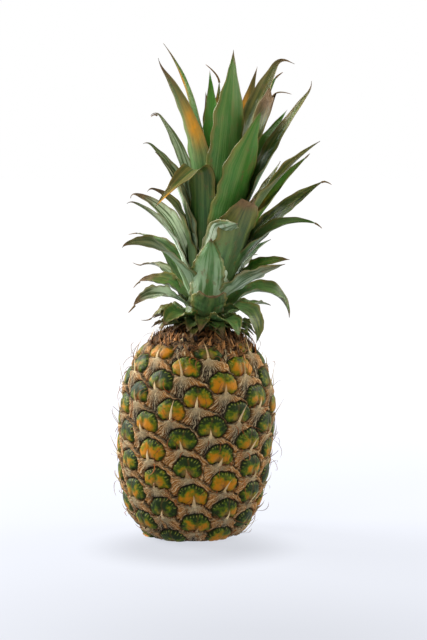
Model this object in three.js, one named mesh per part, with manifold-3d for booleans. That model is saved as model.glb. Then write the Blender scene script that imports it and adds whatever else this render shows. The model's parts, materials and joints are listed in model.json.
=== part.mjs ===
// A whole ripe pineapple, standing on its base: one fruit body of fused fruitlets, the cut stalk
// under it, and the crown, which is a short stem with its leaves.
// Millimetres, +Z up. The origin is the centre of the flat spot that the fruit stands on, and the
// front of the fruit faces -Y. An azimuth of 0 is the front and 90 is +X.
import * as THREE from "three";
import { mergeVertices } from "three/addons/utils/BufferGeometryUtils.js";
import Module from "manifold-3d";

const wasm = await Module();
wasm.setup();
const RAD = Math.PI / 180;

// Driving dimensions of the fruit body
const FRUIT_TOP = 155; // height of the fruit, where the crown's stem sits
const FRUIT_RADIUS = 56; // at its widest
const WIDEST_Z = 92;
const LOWER = { reach: 99.5, power: 2.85 }; // superellipse below the widest height
const UPPER = { reach: 65, power: 2.2 }; // and above it
const FRUIT_LEAN = 4.2; // degrees towards +X

// The fruitlets follow the golden angle, each with the same share of the surface. Their rows twist
// in the lower half, and the rings that they grow in are tilted.
const GOLDEN_TURN = 137.508;
const FRUITLET_AREA = 532; // mm2
const FIRST_AZIMUTH = 231.7;
const TWIST = { below: 82, rate: 0.344 }; // degrees for each mm of height
const RING_TILT = 0.07; // drop for each mm to +X
const SPIRALS = [8, 13]; // the two families of spirals that the mesh is laid along
const STEPS_PER_FRUITLET = 5;
const EYE = { halfWidth: 10.6, halfHeight: 8, rise: 2.8, height: 3.1 };
const BRACT = { halfWidth: 9.4, halfHeight: 5, drop: 6.4, height: 2.6 };
const THORN = { root: 8.2, back: -2.8, tip: 4.3, halfWidth: 2.4, out: 5.4, sunk: 2.5 };

// Stalk, crown and leaves
const STALK = { radius: 10, height: 12, sides: 20 };
const GAP = 0.35; // clearance between pieces that touch on the real fruit
const CROWN_AT = { x: 11.2, y: 0, z: FRUIT_TOP };
const CROWN_TILT = 5; // degrees towards +X
const STEM = { height: 74, baseRadius: 17, topRadius: 5 };
const LEAF = { rootShare: 0.3, pointPower: 1.15, taper: 0.62 };

// Solids and geometry

function solidFrom(geometry) {
  const bare = geometry.clone();
  bare.deleteAttribute("normal");
  bare.deleteAttribute("uv");
  const merged = mergeVertices(bare, 1e-4);
  return new wasm.Manifold(
    new wasm.Mesh({
      numProp: 3,
      vertProperties: new Float32Array(merged.attributes.position.array),
      triVerts: new Uint32Array(merged.index.array),
    }),
  );
}

function geometryFrom(solid) {
  const mesh = solid.getMesh();
  const geometry = new THREE.BufferGeometry();
  geometry.setAttribute("position", new THREE.BufferAttribute(mesh.vertProperties, 3));
  geometry.setIndex(new THREE.BufferAttribute(mesh.triVerts, 1));
  geometry.computeVertexNormals();
  return geometry;
}

function indexedGeometry(points, triangles) {
  const geometry = new THREE.BufferGeometry();
  geometry.setAttribute("position", new THREE.Float32BufferAttribute(points.flat(), 3));
  geometry.setIndex(triangles.flat());
  return geometry;
}

function largestBody(solid) {
  const bodies = solid.decompose();
  return bodies.reduce((best, body) => (body.volume() > best.volume() ? body : best));
}

// A repeatable random number from 0 to 1 for a whole number
function chance(seed) {
  const x = Math.sin(seed * 127.1 + 311.7) * 43758.5453;
  return x - Math.floor(x);
}

const smooth = (t) => {
  const c = Math.min(1, Math.max(0, t));
  return c * c * (3 - 2 * c);
};

// The fruit's outline: its radius at each height, as two half superellipses. Past the base and the
// top it runs on as a tube, so that the spirals can be trimmed flat there.
function radiusAt(z) {
  const height = Math.min(FRUIT_TOP, Math.max(0, z));
  const half = height < WIDEST_Z ? LOWER : UPPER;
  const share = Math.abs(height - WIDEST_Z) / half.reach;
  return FRUIT_RADIUS * (1 - share ** half.power) ** (1 / half.power);
}

// The outline walked in small steps, with the arc length and the number of fruitlets so far
function walkOutline() {
  const step = 0.5;
  const below = 60;
  const above = 110;
  const rows = [];
  let arc = 0;
  let count = 0;
  for (let z = -below; z <= FRUIT_TOP + above; z += step) {
    const r = radiusAt(z);
    if (rows.length) {
      const last = rows[rows.length - 1];
      const piece = Math.hypot(r - last.r, step);
      arc += piece;
      count += (Math.PI * (r + last.r) * piece) / FRUITLET_AREA;
    }
    rows.push({ z, r, arc, count });
  }
  const atBase = rows.find((row) => row.z >= 0).count;
  rows.forEach((row) => (row.count -= atBase));
  return rows;
}

const OUTLINE = walkOutline();

// The place on the outline where its count of fruitlets, or its arc length, has this value
function outlineAt(key, value) {
  let low = 0;
  let high = OUTLINE.length - 1;
  while (high - low > 1) {
    const middle = (low + high) >> 1;
    if (OUTLINE[middle][key] > value) high = middle;
    else low = middle;
  }
  const a = OUTLINE[low];
  const b = OUTLINE[high];
  const t = (value - a[key]) / (b[key] - a[key]);
  const length = Math.hypot(b.r - a.r, b.z - a.z);
  return {
    r: a.r + (b.r - a.r) * t,
    z: a.z + (b.z - a.z) * t,
    arc: a.arc + (b.arc - a.arc) * t,
    outR: (b.z - a.z) / length,
    outZ: (a.r - b.r) / length,
  };
}

const wrap = (degrees) => degrees - 360 * Math.round(degrees / 360);

// Where a place in the regular pattern, a count of fruitlets and an azimuth, comes on the real
// fruit, with its twisted rows and tilted rings
function growthAt(count, azimuth) {
  const ring = outlineAt("count", count);
  const turned = azimuth - TWIST.rate * Math.max(0, TWIST.below - Math.max(0, ring.z));
  const arc = ring.arc - RING_TILT * ring.r * Math.sin(turned * RAD);
  return { ...outlineAt("arc", arc), azimuth: turned };
}

const fruitletAt = (k) => growthAt(k, FIRST_AZIMUTH + k * GOLDEN_TURN);

const SEARCH_REACH = 24; // the nearest fruitlet's number is never further than this from a count
const FRUITLETS_AT_TOP = Math.ceil(OUTLINE.find((row) => row.z >= FRUIT_TOP).count);
const FRUITLETS = new Map();
for (let k = -3 * SEARCH_REACH; k <= FRUITLETS_AT_TOP + 3 * SEARCH_REACH; k++)
  FRUITLETS.set(k, fruitletAt(k));

// How high the skin stands over the smooth body at a point: the raised eye of the nearest fruitlet
// and the mound of its bract under the eye
function reliefAt(count, here) {
  let nearest = Infinity;
  let u = 0;
  let v = 0;
  for (let k = Math.ceil(count - SEARCH_REACH); k <= count + SEARCH_REACH; k++) {
    const eye = FRUITLETS.get(k);
    const du = here.r * wrap(here.azimuth - eye.azimuth) * RAD;
    const dv = here.arc - eye.arc;
    const distance = Math.hypot(du, dv * 1.08);
    if (distance < nearest) {
      nearest = distance;
      u = du;
      v = dv;
    }
  }
  const eyeShare = (u / EYE.halfWidth) ** 2 + ((v - EYE.rise) / EYE.halfHeight) ** 2;
  const eye = EYE.height * Math.max(0, 1 - eyeShare) ** 0.55;
  const bractShare = (u / BRACT.halfWidth) ** 2 + ((v + BRACT.drop) / BRACT.halfHeight) ** 2;
  return Math.max(eye, BRACT.height * Math.exp(-bractShare));
}

// A point at a height over a place on the smooth body, in the part's frame
function pointOver(place, azimuth, height) {
  const r = place.r + place.outR * height;
  const z = place.z + place.outZ * height;
  const point = new THREE.Vector3(r * Math.sin(azimuth * RAD), -r * Math.cos(azimuth * RAD), z);
  return point.applyAxisAngle(new THREE.Vector3(0, 1, 0), FRUIT_LEAN * RAD).toArray();
}

// The skin is a mesh whose cells run along the two families of spirals, so that each fruitlet is
// sampled alike. Both ends close on a point past the planes that trim them.
function fruitSkin(lastFruitlet, extra) {
  const n = STEPS_PER_FRUITLET;
  const turns = SPIRALS.map((m) => wrap(m * GOLDEN_TURN));
  const first = -SEARCH_REACH;
  const numbers = new Map();
  const points = [];
  const counts = [];
  const vertex = (k, i, j) => {
    const fruitlet = k + (i >= n ? SPIRALS[0] : 0) + (j >= n ? SPIRALS[1] : 0);
    const key = `${fruitlet},${i % n},${j % n}`;
    if (!numbers.has(key)) {
      const count = fruitlet + (SPIRALS[0] * (i % n) + SPIRALS[1] * (j % n)) / n;
      const azimuth =
        FIRST_AZIMUTH + fruitlet * GOLDEN_TURN + (turns[0] * (i % n) + turns[1] * (j % n)) / n;
      const here = growthAt(count, azimuth);
      numbers.set(key, points.length);
      points.push(pointOver(here, here.azimuth, reliefAt(count, here) + extra));
      counts.push(count);
    }
    return numbers.get(key);
  };
  const triangles = [];
  for (let k = first; k <= lastFruitlet; k++)
    for (let i = 0; i < n; i++)
      for (let j = 0; j < n; j++) {
        const a = vertex(k, i, j);
        const b = vertex(k, i + 1, j);
        const c = vertex(k, i + 1, j + 1);
        const d = vertex(k, i, j + 1);
        triangles.push([a, b, c], [a, c, d]);
      }
  const edges = new Set();
  triangles.forEach(([a, b, c]) => [`${a},${b}`, `${b},${c}`, `${c},${a}`].forEach((e) => edges.add(e)));
  const middle = lastFruitlet / 2;
  const ends = [points.length, points.length + 1];
  points.push([0, 0, OUTLINE[0].z - 5], [0, 0, OUTLINE[OUTLINE.length - 1].z + 5]);
  for (const edge of edges) {
    const [a, b] = edge.split(",").map(Number);
    if (!edges.has(`${b},${a}`)) triangles.push([b, a, counts[a] < middle ? ends[0] : ends[1]]);
  }
  return solidFrom(indexedGeometry(points, triangles));
}

// A bract's dry tip: a three-sided spike that rises from under an eye and stands over it
function thorn(k, extra) {
  const eye = FRUITLETS.get(k);
  const at = (u, v, height) =>
    pointOver(outlineAt("arc", eye.arc + v), eye.azimuth + u / (eye.r * RAD), height);
  const lean = (chance(k) - 0.5) * 3;
  const half = THORN.halfWidth + extra;
  const points = [
    at(-half, THORN.back, -THORN.sunk),
    at(half, THORN.back, -THORN.sunk),
    at(0, -THORN.root - extra, THORN.sunk * 0.2),
    at(0, -THORN.root * 0.35, THORN.out * 0.82 + extra),
    at(lean, THORN.tip + extra + chance(k + 500) * 1.6, THORN.out + extra),
  ];
  const triangles = [
    [0, 2, 1],
    [0, 1, 4],
    [1, 2, 3],
    [2, 0, 3],
    [0, 4, 3],
    [1, 3, 4],
  ];
  return solidFrom(indexedGeometry(points, triangles));
}

function slab(low, high) {
  const box = new THREE.BoxGeometry(400, 400, high - low);
  box.translate(0, 0, (low + high) / 2);
  return solidFrom(box);
}

function cylinder(radius, low, high, sides) {
  const geometry = new THREE.CylinderGeometry(radius, radius, high - low, sides);
  geometry.rotateX(Math.PI / 2);
  geometry.translate(0, 0, (low + high) / 2);
  return solidFrom(geometry);
}

// The fruit before its base and top are cut flat. extra makes it fatter all round.
function wholeFruit(extra) {
  const thorns = [];
  for (let k = 4; k < FRUITLETS_AT_TOP - 7; k++) thorns.push(thorn(k, extra));
  return wasm.Manifold.union([fruitSkin(FRUITLETS_AT_TOP, extra), ...thorns]);
}

function fruitBody() {
  const whole = wholeFruit(0);
  const pocket = cylinder(STALK.radius + GAP, -5, STALK.height + GAP, STALK.sides);
  return largestBody(whole.intersect(slab(0, FRUIT_TOP)).subtract(pocket));
}

function cutStalk() {
  return cylinder(STALK.radius, 0, STALK.height, STALK.sides);
}

// The crown, in its own frame: +Z along the stem, from the top of the fruit

function stemRadius(z) {
  const t = Math.min(1, Math.max(0, z / STEM.height));
  return STEM.baseRadius + (STEM.topRadius - STEM.baseRadius) * t ** 0.9;
}

function crownStemCore(extra) {
  const profile = [new THREE.Vector2(0, GAP)];
  const rings = 6;
  for (let i = 0; i <= rings; i++) {
    const z = GAP + ((STEM.height - GAP) * i) / rings;
    profile.push(new THREE.Vector2(stemRadius(z) + extra, z));
  }
  profile.push(new THREE.Vector2(0, STEM.height + 6 + extra));
  const geometry = new THREE.LatheGeometry(profile, 16);
  geometry.rotateX(Math.PI / 2);
  return solidFrom(geometry);
}

// The half width of a leaf along its length, as a share of its widest: it swells from a clasping
// root, keeps its width, and comes to a point over the last share of its length, which is its taper
function leafSwell(s, taper) {
  const root = 0.66 + 0.34 * Math.sin((Math.PI / 2) * Math.min(1, s / LEAF.rootShare));
  const point = Math.sin((Math.PI / 2) * Math.min(1, Math.max(0, (1 - s) / taper))) ** LEAF.pointPower;
  return Math.min(root, point);
}

// The midrib of a leaf as stations, each with its place, side and inner directions. The angle from
// the stem's axis runs from lean[0] at the root to lean[1] at the tip, and a kink folds it.
function leafStations(leaf, stations) {
  const { az, z0, length, lean, bend = 1.4, yaw = 0, roll = 0, kink, end = 1, out = 0 } = leaf;
  const parts = 60;
  const at = new THREE.Vector3();
  const rootRadius = stemRadius(z0) + GAP + 0.9 + out;
  at.set(rootRadius * Math.sin(az * RAD), -rootRadius * Math.cos(az * RAD), z0);
  const made = [];
  const frame = (s) => {
    let angle = lean[0] + (lean[1] - lean[0]) * s ** bend;
    if (kink) angle += kink[1] * smooth((s - kink[0]) / 0.09 + 0.5);
    const heading = (az + yaw * s * s) * RAD;
    const a = angle * RAD;
    const along = new THREE.Vector3(
      Math.sin(a) * Math.sin(heading),
      -Math.sin(a) * Math.cos(heading),
      Math.cos(a),
    );
    const side = new THREE.Vector3(Math.cos(heading), Math.sin(heading), 0);
    side.applyAxisAngle(along, roll * s * RAD);
    const inner = new THREE.Vector3().crossVectors(side, along).negate();
    return { along, side, inner };
  };
  for (let i = 0; i <= parts; i++) {
    const s = (end * i) / parts;
    made.push({ s, at: at.clone(), ...frame(s) });
    at.addScaledVector(frame(s + end / parts / 2).along, (length * end) / parts);
  }
  return stations.map((s) => made[Math.round((s / end) * parts)]);
}

const EDGE_SPREAD = 2.4; // how much more a fattened blade grows at its thin edges

// How a blade is sampled: its stations, the points of its section with the face each is on, and
// the triangles that close the section
const LARGE_BLADE = {
  shares: [0, 0.14, 0.3, 0.46, 0.62, 0.77, 0.9, 1],
  across: [-1, -0.5, 0.5, 1, 0.5, -0.5],
  face: [0, -1, -1, 0, 1, 1],
  cap: [
    [0, 1, 5],
    [1, 2, 5],
    [2, 4, 5],
    [2, 3, 4],
  ],
};
const SMALL_BLADE = {
  shares: [0, 0.3, 0.6, 0.85, 1],
  across: [-1, 0, 1, 0],
  face: [0, -1, 0, 1],
  cap: [
    [0, 1, 3],
    [1, 2, 3],
  ],
};

// A leaf as a closed blade with a channelled section. extra makes it fatter all round, for cutting
// its neighbours clear of it.
function leafBlade(leaf, extra = 0, { shares, across, face, cap } = LARGE_BLADE) {
  const { width, cup = 0.42, thick = 1.7, end = 1, z0, taper = LEAF.taper } = leaf;
  const stations = leafStations(leaf, shares.map((s) => s * end));
  const points = [];
  stations.forEach(({ s, at, along, side, inner }, i) => {
    const half = (width / 2) * leafSwell(s, taper);
    const rootCup = half / (2 * (stemRadius(z0) + 2));
    const fold = rootCup + (cup - rootCup) * smooth(s / 0.3);
    const t = (thick * (1 - 0.55 * s)) / 2 + extra;
    const last = i === stations.length - 1;
    const centre = at.clone().addScaledVector(along, i === 0 ? -extra : last ? 3 * extra : 0);
    if (last && end === 1) {
      points.push(centre);
      return;
    }
    across.forEach((u, c) => {
      const past = Math.abs(u) === 1 ? EDGE_SPREAD * extra : 0;
      points.push(
        centre
          .clone()
          .addScaledVector(side, half * u + past * Math.sign(u))
          .addScaledVector(inner, fold * (half * (u * u - 0.25) + 1.5 * past) + t * face[c]),
      );
    });
  });
  const ring = across.length;
  const rings = end === 1 ? stations.length - 1 : stations.length;
  const triangles = [];
  for (let i = 0; i < rings - 1; i++)
    for (let c = 0; c < ring; c++) {
      const a = i * ring + c;
      const b = i * ring + ((c + 1) % ring);
      triangles.push([a, b, b + ring], [a, b + ring, a + ring]);
    }
  cap.forEach(([a, b, c]) => triangles.push([a, c, b]));
  const last = (rings - 1) * ring;
  if (end === 1)
    for (let c = 0; c < ring; c++) triangles.push([last + c, last + ((c + 1) % ring), last + ring]);
  else cap.forEach((corners) => triangles.push(corners.map((c) => last + c)));
  return solidFrom(indexedGeometry(points.map((p) => p.toArray()), triangles));
}

// The crown's large leaves, from the outermost up to the heart. az is the way the leaf points, z0
// where it leaves the stem, lean its angle from the stem at root and tip.
const LEAVES = [
  // lowest spreading leaves, 45 to 75 mm long
  { az: -104, z0: 12.5, length: 28, width: 17, lean: [79, 140], bend: 0.97, roll: -30 },
  { az: 103, z0: 12.8, length: 70, width: 20, lean: [23, 175], bend: 1.23, taper: 0.45, roll: 35 },
  { az: 28, z0: 6.2, length: 44, width: 20, lean: [56, 147], bend: 1.17 },
  { az: 162, z0: 5, length: 60, width: 20, lean: [60, 112] },
  { az: -138, z0: 14, length: 74, width: 19, lean: [36, 111], bend: 1.31 },
  { az: -35, z0: 9.8, length: 39, width: 20, lean: [61, 143], bend: 1.08, roll: -25 },
  { az: 55, z0: 13.5, length: 52, width: 20, lean: [41, 196], bend: 1, roll: 20 },
  { az: 6, z0: 8, length: 44, width: 26, lean: [36, 78], end: 0.7, cup: 0.5 },
  { az: -68, z0: 18.1, length: 46, width: 18, lean: [55, 142], bend: 1.15, roll: -45 },
  { az: 129, z0: 8.8, length: 51, width: 20, lean: [59, 106] },
  { az: -165, z0: 11, length: 62, width: 20, lean: [55, 96] },
  // middle leaves, 65 to 110 mm long
  { az: -109, z0: 22.1, length: 43, width: 20, lean: [50, 115], bend: 1.2, roll: -40 },
  { az: 77, z0: 22.9, length: 62, width: 22, lean: [23, 87], bend: 1.13, roll: 45, cup: 0.3 },
  { az: 53, z0: 25, length: 64, width: 22, lean: [53, 72], bend: 1.52, roll: -20, cup: 0.3 },
  { az: -49, z0: 24.9, length: 85, width: 24, lean: [21, 109], bend: 1.05, roll: -45, cup: 0.3 },
  { az: 0, z0: 14.3, length: 59, width: 25, lean: [17, 20], bend: 2.07, taper: 0.5, cup: 0.5 },
  { az: 155, z0: 20.8, length: 85, width: 22, lean: [46, 94] },
  { az: -144, z0: 18.7, length: 101, width: 22, lean: [41, 94] },
  { az: -73, z0: 29.9, length: 84, width: 14, lean: [14, 77], bend: 1.31, roll: -40 },
  { az: 120, z0: 21.8, length: 63, width: 22, lean: [23, 65], bend: 1.71 },
  { az: 73, z0: 27.3, length: 100, width: 20, lean: [18, 106], bend: 1.8, roll: 45 },
  { az: 16, z0: 21, length: 94, width: 27, lean: [14, 20], kink: [0.62, 62], roll: -25 },
  { az: 178, z0: 22, length: 100, width: 24, lean: [32, 62] },
  { az: -108, z0: 32.8, length: 88, width: 17, lean: [13, 86], bend: 1.54, roll: -50 },
  { az: 37, z0: 26.3, length: 93, width: 33, lean: [19, 29], taper: 0.4, end: 0.86, cup: 0.36 },
  { az: 97, z0: 31.8, length: 112, width: 22, lean: [26, 56], bend: 1.37, roll: 55 },
  { az: -66, z0: 30.1, length: 89, width: 19, lean: [4, 86], bend: 2.04, roll: -50 },
  // upper leaves, 110 to 165 mm long
  { az: 130, z0: 31.5, length: 110, width: 22, lean: [25, 30], bend: 1.59 },
  { az: -140, z0: 31.6, length: 97, width: 23, lean: [9, 19] },
  { az: -68, z0: 34, length: 106, width: 20, lean: [1, 53], bend: 1.5, roll: -40, cup: 0.36 },
  { az: 57, z0: 38.7, length: 134, width: 25, lean: [19, 56], roll: 50 },
  { az: -77, z0: 41.8, length: 106, width: 22, lean: [5, 54], roll: -50 },
  { az: 78, z0: 40.2, length: 112, width: 24, lean: [23, 44], bend: 1.81, roll: 50 },
  { az: 168, z0: 36, length: 128, width: 24, lean: [22, 42] },
  { az: -36, z0: 40, length: 137, width: 25, lean: [5, 21], kink: [0.59, 107] },
  { az: -105, z0: 46.1, length: 122, width: 15, lean: [6, 47], bend: 1.82, roll: -50 },
  { az: 101, z0: 45.5, length: 130, width: 25, lean: [9, 33], bend: 1.8, roll: 60 },
  { az: 36, z0: 39.8, length: 133, width: 31, lean: [11, 24], bend: 1.46, taper: 0.5, cup: 0.38 },
  { az: -166, z0: 45.4, length: 158, width: 18, lean: [3, 17], bend: 1.56, taper: 0.3, end: 0.8 },
  { az: 82, z0: 47.4, length: 149, width: 24, lean: [13, 33], bend: 1.22, taper: 0.7, roll: 55 },
  { az: -62, z0: 54, length: 149, width: 25, lean: [0, 46], taper: 0.7, roll: 30 },
  { az: 140, z0: 54.4, length: 154, width: 24, lean: [8, 46], bend: 1.91, roll: 60 },
  { az: -106, z0: 59.6, length: 159, width: 16, lean: [3, 43], bend: 2.18, taper: 0.8, roll: -30 },
  { az: 104, z0: 58, length: 163, width: 24, lean: [3, 27], kink: [0.93, 81], roll: 60 },
  { az: 32, z0: 56, length: 153, width: 31, lean: [6, -9], taper: 0.5, cup: 0.34 },
  { az: -172, z0: 60, length: 129, width: 17, lean: [4, 17] },
  { az: 71, z0: 61.2, length: 145, width: 22, lean: [13, 18], taper: 0.35, roll: 60, end: 0.84 },
  { az: 150, z0: 62.9, length: 143, width: 21, lean: [13, 21], taper: 0.7, roll: 30 },
  { az: -157, z0: 66.1, length: 130, width: 18, lean: [2, 22], roll: -30 },
];

// Short dry leaves round the crown's foot, which arch over and hang onto the fruit's shoulder.
// They follow the golden angle and are fused to the stem.
function footLeaves() {
  const made = [];
  for (let i = 0; i < 21; i++) {
    const z0 = 1.5 + i * 0.28;
    made.push(
      leafBlade(
        {
          az: i * GOLDEN_TURN + 20 + 16 * (chance(i) - 0.5),
          z0,
          out: -4.5,
          length: 22 + 13 * chance(i + 40),
          width: 11 + 4 * chance(i + 80),
          lean: [64 + 8 * chance(i + 20), 118 + 24 * chance(i + 60)],
          bend: 0.9,
          roll: 30 * (chance(i + 120) - 0.5),
          thick: 1.5,
        },
        0,
        SMALL_BLADE,
      ),
    );
  }
  return made;
}

// Leaves are placed from the heart outwards, and each is cut clear of those already there
function clearOf(solid, cutters) {
  const box = solid.boundingBox();
  const near = cutters.filter(({ low, high }) =>
    [0, 1, 2].every((a) => low[a] < box.max[a] && high[a] > box.min[a]),
  );
  return near.reduce((left, { fat }) => left.subtract(fat), solid);
}

function cutterOf(fat) {
  const box = fat.boundingBox();
  return { fat, low: box.min, high: box.max };
}

const inCrownFrame = new THREE.Matrix4()
  .makeTranslation(CROWN_AT.x, CROWN_AT.y, CROWN_AT.z)
  .multiply(new THREE.Matrix4().makeRotationY(CROWN_TILT * RAD));

function crownPieces() {
  const fatFruit = geometryFrom(wholeFruit(GAP).intersect(slab(100, FRUIT_TOP + GAP)));
  const fruitHere = solidFrom(fatFruit.applyMatrix4(inCrownFrame.clone().invert()));
  const core = crownStemCore(0);
  const cutters = [cutterOf(crownStemCore(GAP)), cutterOf(fruitHere)];
  const leaves = new Map();
  [...LEAVES.keys()].reverse().forEach((i) => {
    const blade = leafBlade(LEAVES[i]);
    leaves.set(i, largestBody(clearOf(blade, cutters)));
    cutters.push(cutterOf(leafBlade(LEAVES[i], GAP).add(blade)));
  });
  const aroundFeet = cutters.slice(1);
  const feet = footLeaves().map((blade) => largestBody(clearOf(blade, aroundFeet)));
  const stem = wasm.Manifold.union([core.subtract(fruitHere), ...feet]);
  return { stem: largestBody(stem), leaves };
}

// Materials and assembly

function paint(color, roughness) {
  return new THREE.MeshStandardMaterial({ color, roughness, metalness: 0 });
}

const skinPaint = paint(0x8a6f3a, 0.6);
const leafPaint = paint(0x54703f, 0.5);
const stemPaint = paint(0x6b6a3e, 0.7);
const stalkPaint = paint(0xb89b6a, 0.8);

function piece(name, solid, material) {
  const mesh = new THREE.Mesh(geometryFrom(solid), material);
  mesh.name = name;
  return mesh;
}

const pineapple = new THREE.Group();
pineapple.add(piece("fruit", fruitBody(), skinPaint));
pineapple.add(piece("cut_stalk", cutStalk(), stalkPaint));

const crown = new THREE.Group();
inCrownFrame.decompose(crown.position, crown.quaternion, crown.scale);
const { stem, leaves } = crownPieces();
crown.add(piece("crown_stem", stem, stemPaint));
for (const [i, solid] of leaves)
  crown.add(piece(`leaf_${String(i + 1).padStart(2, "0")}`, solid, leafPaint));
pineapple.add(crown);

export default pineapple;
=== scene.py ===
# %% [markdown]
# # A whole pineapple
#
# This lesson dresses a plain solid model of a pineapple with the surfaces that an eye notices: the
# fused eyes of the skin, their dry tips, and a crown of long channelled leaves.
#
# The solid model is loaded first, as a fixed frame. Every new piece is a surface worked out with
# numpy from the same sizes as the solids, so each lands where its solid is and stands in for it.

# %% Load the frame
import json
import math

import bpy
import numpy as np
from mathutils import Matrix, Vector

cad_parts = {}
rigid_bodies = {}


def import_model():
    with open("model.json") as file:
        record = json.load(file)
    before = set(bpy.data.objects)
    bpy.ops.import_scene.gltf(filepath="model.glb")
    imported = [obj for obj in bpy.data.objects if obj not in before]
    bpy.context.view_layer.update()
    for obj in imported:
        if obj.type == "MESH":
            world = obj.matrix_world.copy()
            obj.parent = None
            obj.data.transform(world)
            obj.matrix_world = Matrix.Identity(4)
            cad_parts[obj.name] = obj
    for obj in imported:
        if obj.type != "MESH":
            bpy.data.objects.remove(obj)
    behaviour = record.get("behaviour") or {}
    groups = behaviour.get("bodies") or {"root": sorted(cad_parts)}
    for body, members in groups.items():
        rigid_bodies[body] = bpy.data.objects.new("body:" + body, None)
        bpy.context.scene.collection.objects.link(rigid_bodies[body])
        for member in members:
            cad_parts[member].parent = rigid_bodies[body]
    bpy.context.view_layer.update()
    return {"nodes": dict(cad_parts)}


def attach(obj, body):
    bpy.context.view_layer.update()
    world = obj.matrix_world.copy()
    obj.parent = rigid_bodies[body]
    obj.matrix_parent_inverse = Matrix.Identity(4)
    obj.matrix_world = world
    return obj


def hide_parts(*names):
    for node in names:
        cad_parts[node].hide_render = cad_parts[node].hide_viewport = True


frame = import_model()
print("nodes in the frame:", len(frame["nodes"]))

# %% [markdown]
# ## Two small helpers for surfaces
#
# Most pieces here are closed tubes of some form: rows of points along a piece and columns round it.
# One helper gives a tube's faces, and the other turns points into a mesh object with named numbers
# on its vertices, which the materials read later. Blender can also build such shapes with
# modifiers, but a formula is easier to fit to a natural form.

# %% Tubes and meshes
MM = 0.001


def capped_tube(rows, columns, first=0):
    """The faces of one closed tube, whose points start at the vertex first: a grid whose last
    column joins its first, and a cap on either end."""
    row, column = np.meshgrid(np.arange(rows - 1), np.arange(columns), indexing="ij")
    beside = (column + 1) % columns
    corners = [row * columns + column, row * columns + beside]
    corners += [(row + 1) * columns + beside, (row + 1) * columns + column]
    grid = np.stack(corners, axis=-1).reshape(-1, 4) + first
    start = np.arange(columns) + first
    return [*grid, start[::-1], start + (rows - 1) * columns]


def mesh_piece(name, points, faces, numbers=None):
    """A smooth mesh object from points in millimetres. numbers gives one value for each vertex
    under each name."""
    mesh = bpy.data.meshes.new(name)
    mesh.from_pydata((points * MM).tolist(), [], [tuple(f) for f in faces])
    for key, values in (numbers or {}).items():
        attribute = mesh.attributes.new(key, "FLOAT", "POINT")
        attribute.data.foreach_set("value", np.asarray(values, np.float32).ravel())
    mesh.shade_smooth()
    mesh.update()
    piece = bpy.data.objects.new(name, mesh)
    bpy.context.scene.collection.objects.link(piece)
    return piece


def smooth(t):
    """A soft step: 0 below 0, 1 above 1, and level at both ends."""
    t = np.clip(t, 0, 1)
    return t * t * (3 - 2 * t)


def bump(x, width):
    """A bell curve of height 1 round zero."""
    return np.exp(-((x / width) ** 2))


# %% [markdown]
# ## Materials as expressions
#
# A material in Blender is a network of nodes. Drawing the network by hand in the editor works, but
# it is hard to read back. Here a small class wraps the output of a node, so that `mask * 0.5 + 1`
# adds the Math nodes by itself, and one function adds any other kind of node.

# %% A little language for shader nodes
class Wire:
    """One output of a shader node, with arithmetic: each operator adds a Math node."""

    def __init__(self, tree, socket):
        self.tree = tree
        self.socket = socket

    def math(self, operation, *others):
        """This value through a Math node, with the others as its further inputs."""
        values = dict(enumerate([self, *others]))
        return node(self.tree, "ShaderNodeMath", {"operation": operation}, values)

    def __add__(self, other):
        return self.math("ADD", other)

    def __radd__(self, other):
        return self.math("ADD", other)

    def __sub__(self, other):
        return self.math("SUBTRACT", other)

    def __rsub__(self, other):
        return node(self.tree, "ShaderNodeMath", {"operation": "SUBTRACT"}, {0: other, 1: self})

    def __mul__(self, other):
        return self.math("MULTIPLY", other)

    def __rmul__(self, other):
        return self.math("MULTIPLY", other)

    def clamped(self):
        """This value, kept between 0 and 1."""
        return self.math("MAXIMUM", 0.0).math("MINIMUM", 1.0)

    def step(self, low, high):
        """A soft step of this value, from 0 at low to 1 at high."""
        settings = {"interpolation_type": "SMOOTHSTEP"}
        inputs = {"Value": self, "From Min": low, "From Max": high}
        return node(self.tree, "ShaderNodeMapRange", settings, inputs)


def node(tree, kind, settings=None, inputs=None, output=0):
    """Adds one node, sets it up, fills its sockets with values or wires, and gives an output."""
    made = tree.nodes.new(kind)
    for key, value in (settings or {}).items():
        if key == "stops":
            fill_ramp(made.color_ramp, value)
        else:
            setattr(made, key, value)
    for key, value in (inputs or {}).items():
        if isinstance(value, Wire):
            tree.links.new(value.socket, made.inputs[key])
        else:
            made.inputs[key].default_value = value
    return Wire(tree, made.outputs[output])


def fill_ramp(ramp, stops):
    """Gives a colour ramp these stops, each a place and a colour."""
    while len(ramp.elements) < len(stops):
        ramp.elements.new(0.5)
    for element, (place, colour) in zip(ramp.elements, stops):
        element.position = place
        element.color = (*colour, 1.0)


def srgb(red, green, blue):
    """A colour as seen on a screen, 0 to 255, as the linear one that a shader mixes."""
    shares = np.array([red, green, blue]) / 255
    low = shares / 12.92
    high = ((shares + 0.055) / 1.055) ** 2.4
    return tuple(float(c) for c in np.where(shares <= 0.04045, low, high))


def new_material(name):
    """An empty material with its surface shader: the tree, and the shader node."""
    material = bpy.data.materials.new(name)
    material.use_nodes = True
    tree = material.node_tree
    return material, tree, tree.nodes["Principled BSDF"]


def plug(shader, **sockets):
    """Fills the surface shader's sockets with wires or plain values."""
    for key, value in sockets.items():
        socket = shader.inputs[key.replace("_", " ")]
        if isinstance(value, Wire):
            value.tree.links.new(value.socket, socket)
        else:
            socket.default_value = value


def attribute(tree, name):
    """The number that the mesh carries under this name."""
    return node(tree, "ShaderNodeAttribute", {"attribute_name": name}, output="Fac")


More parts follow.
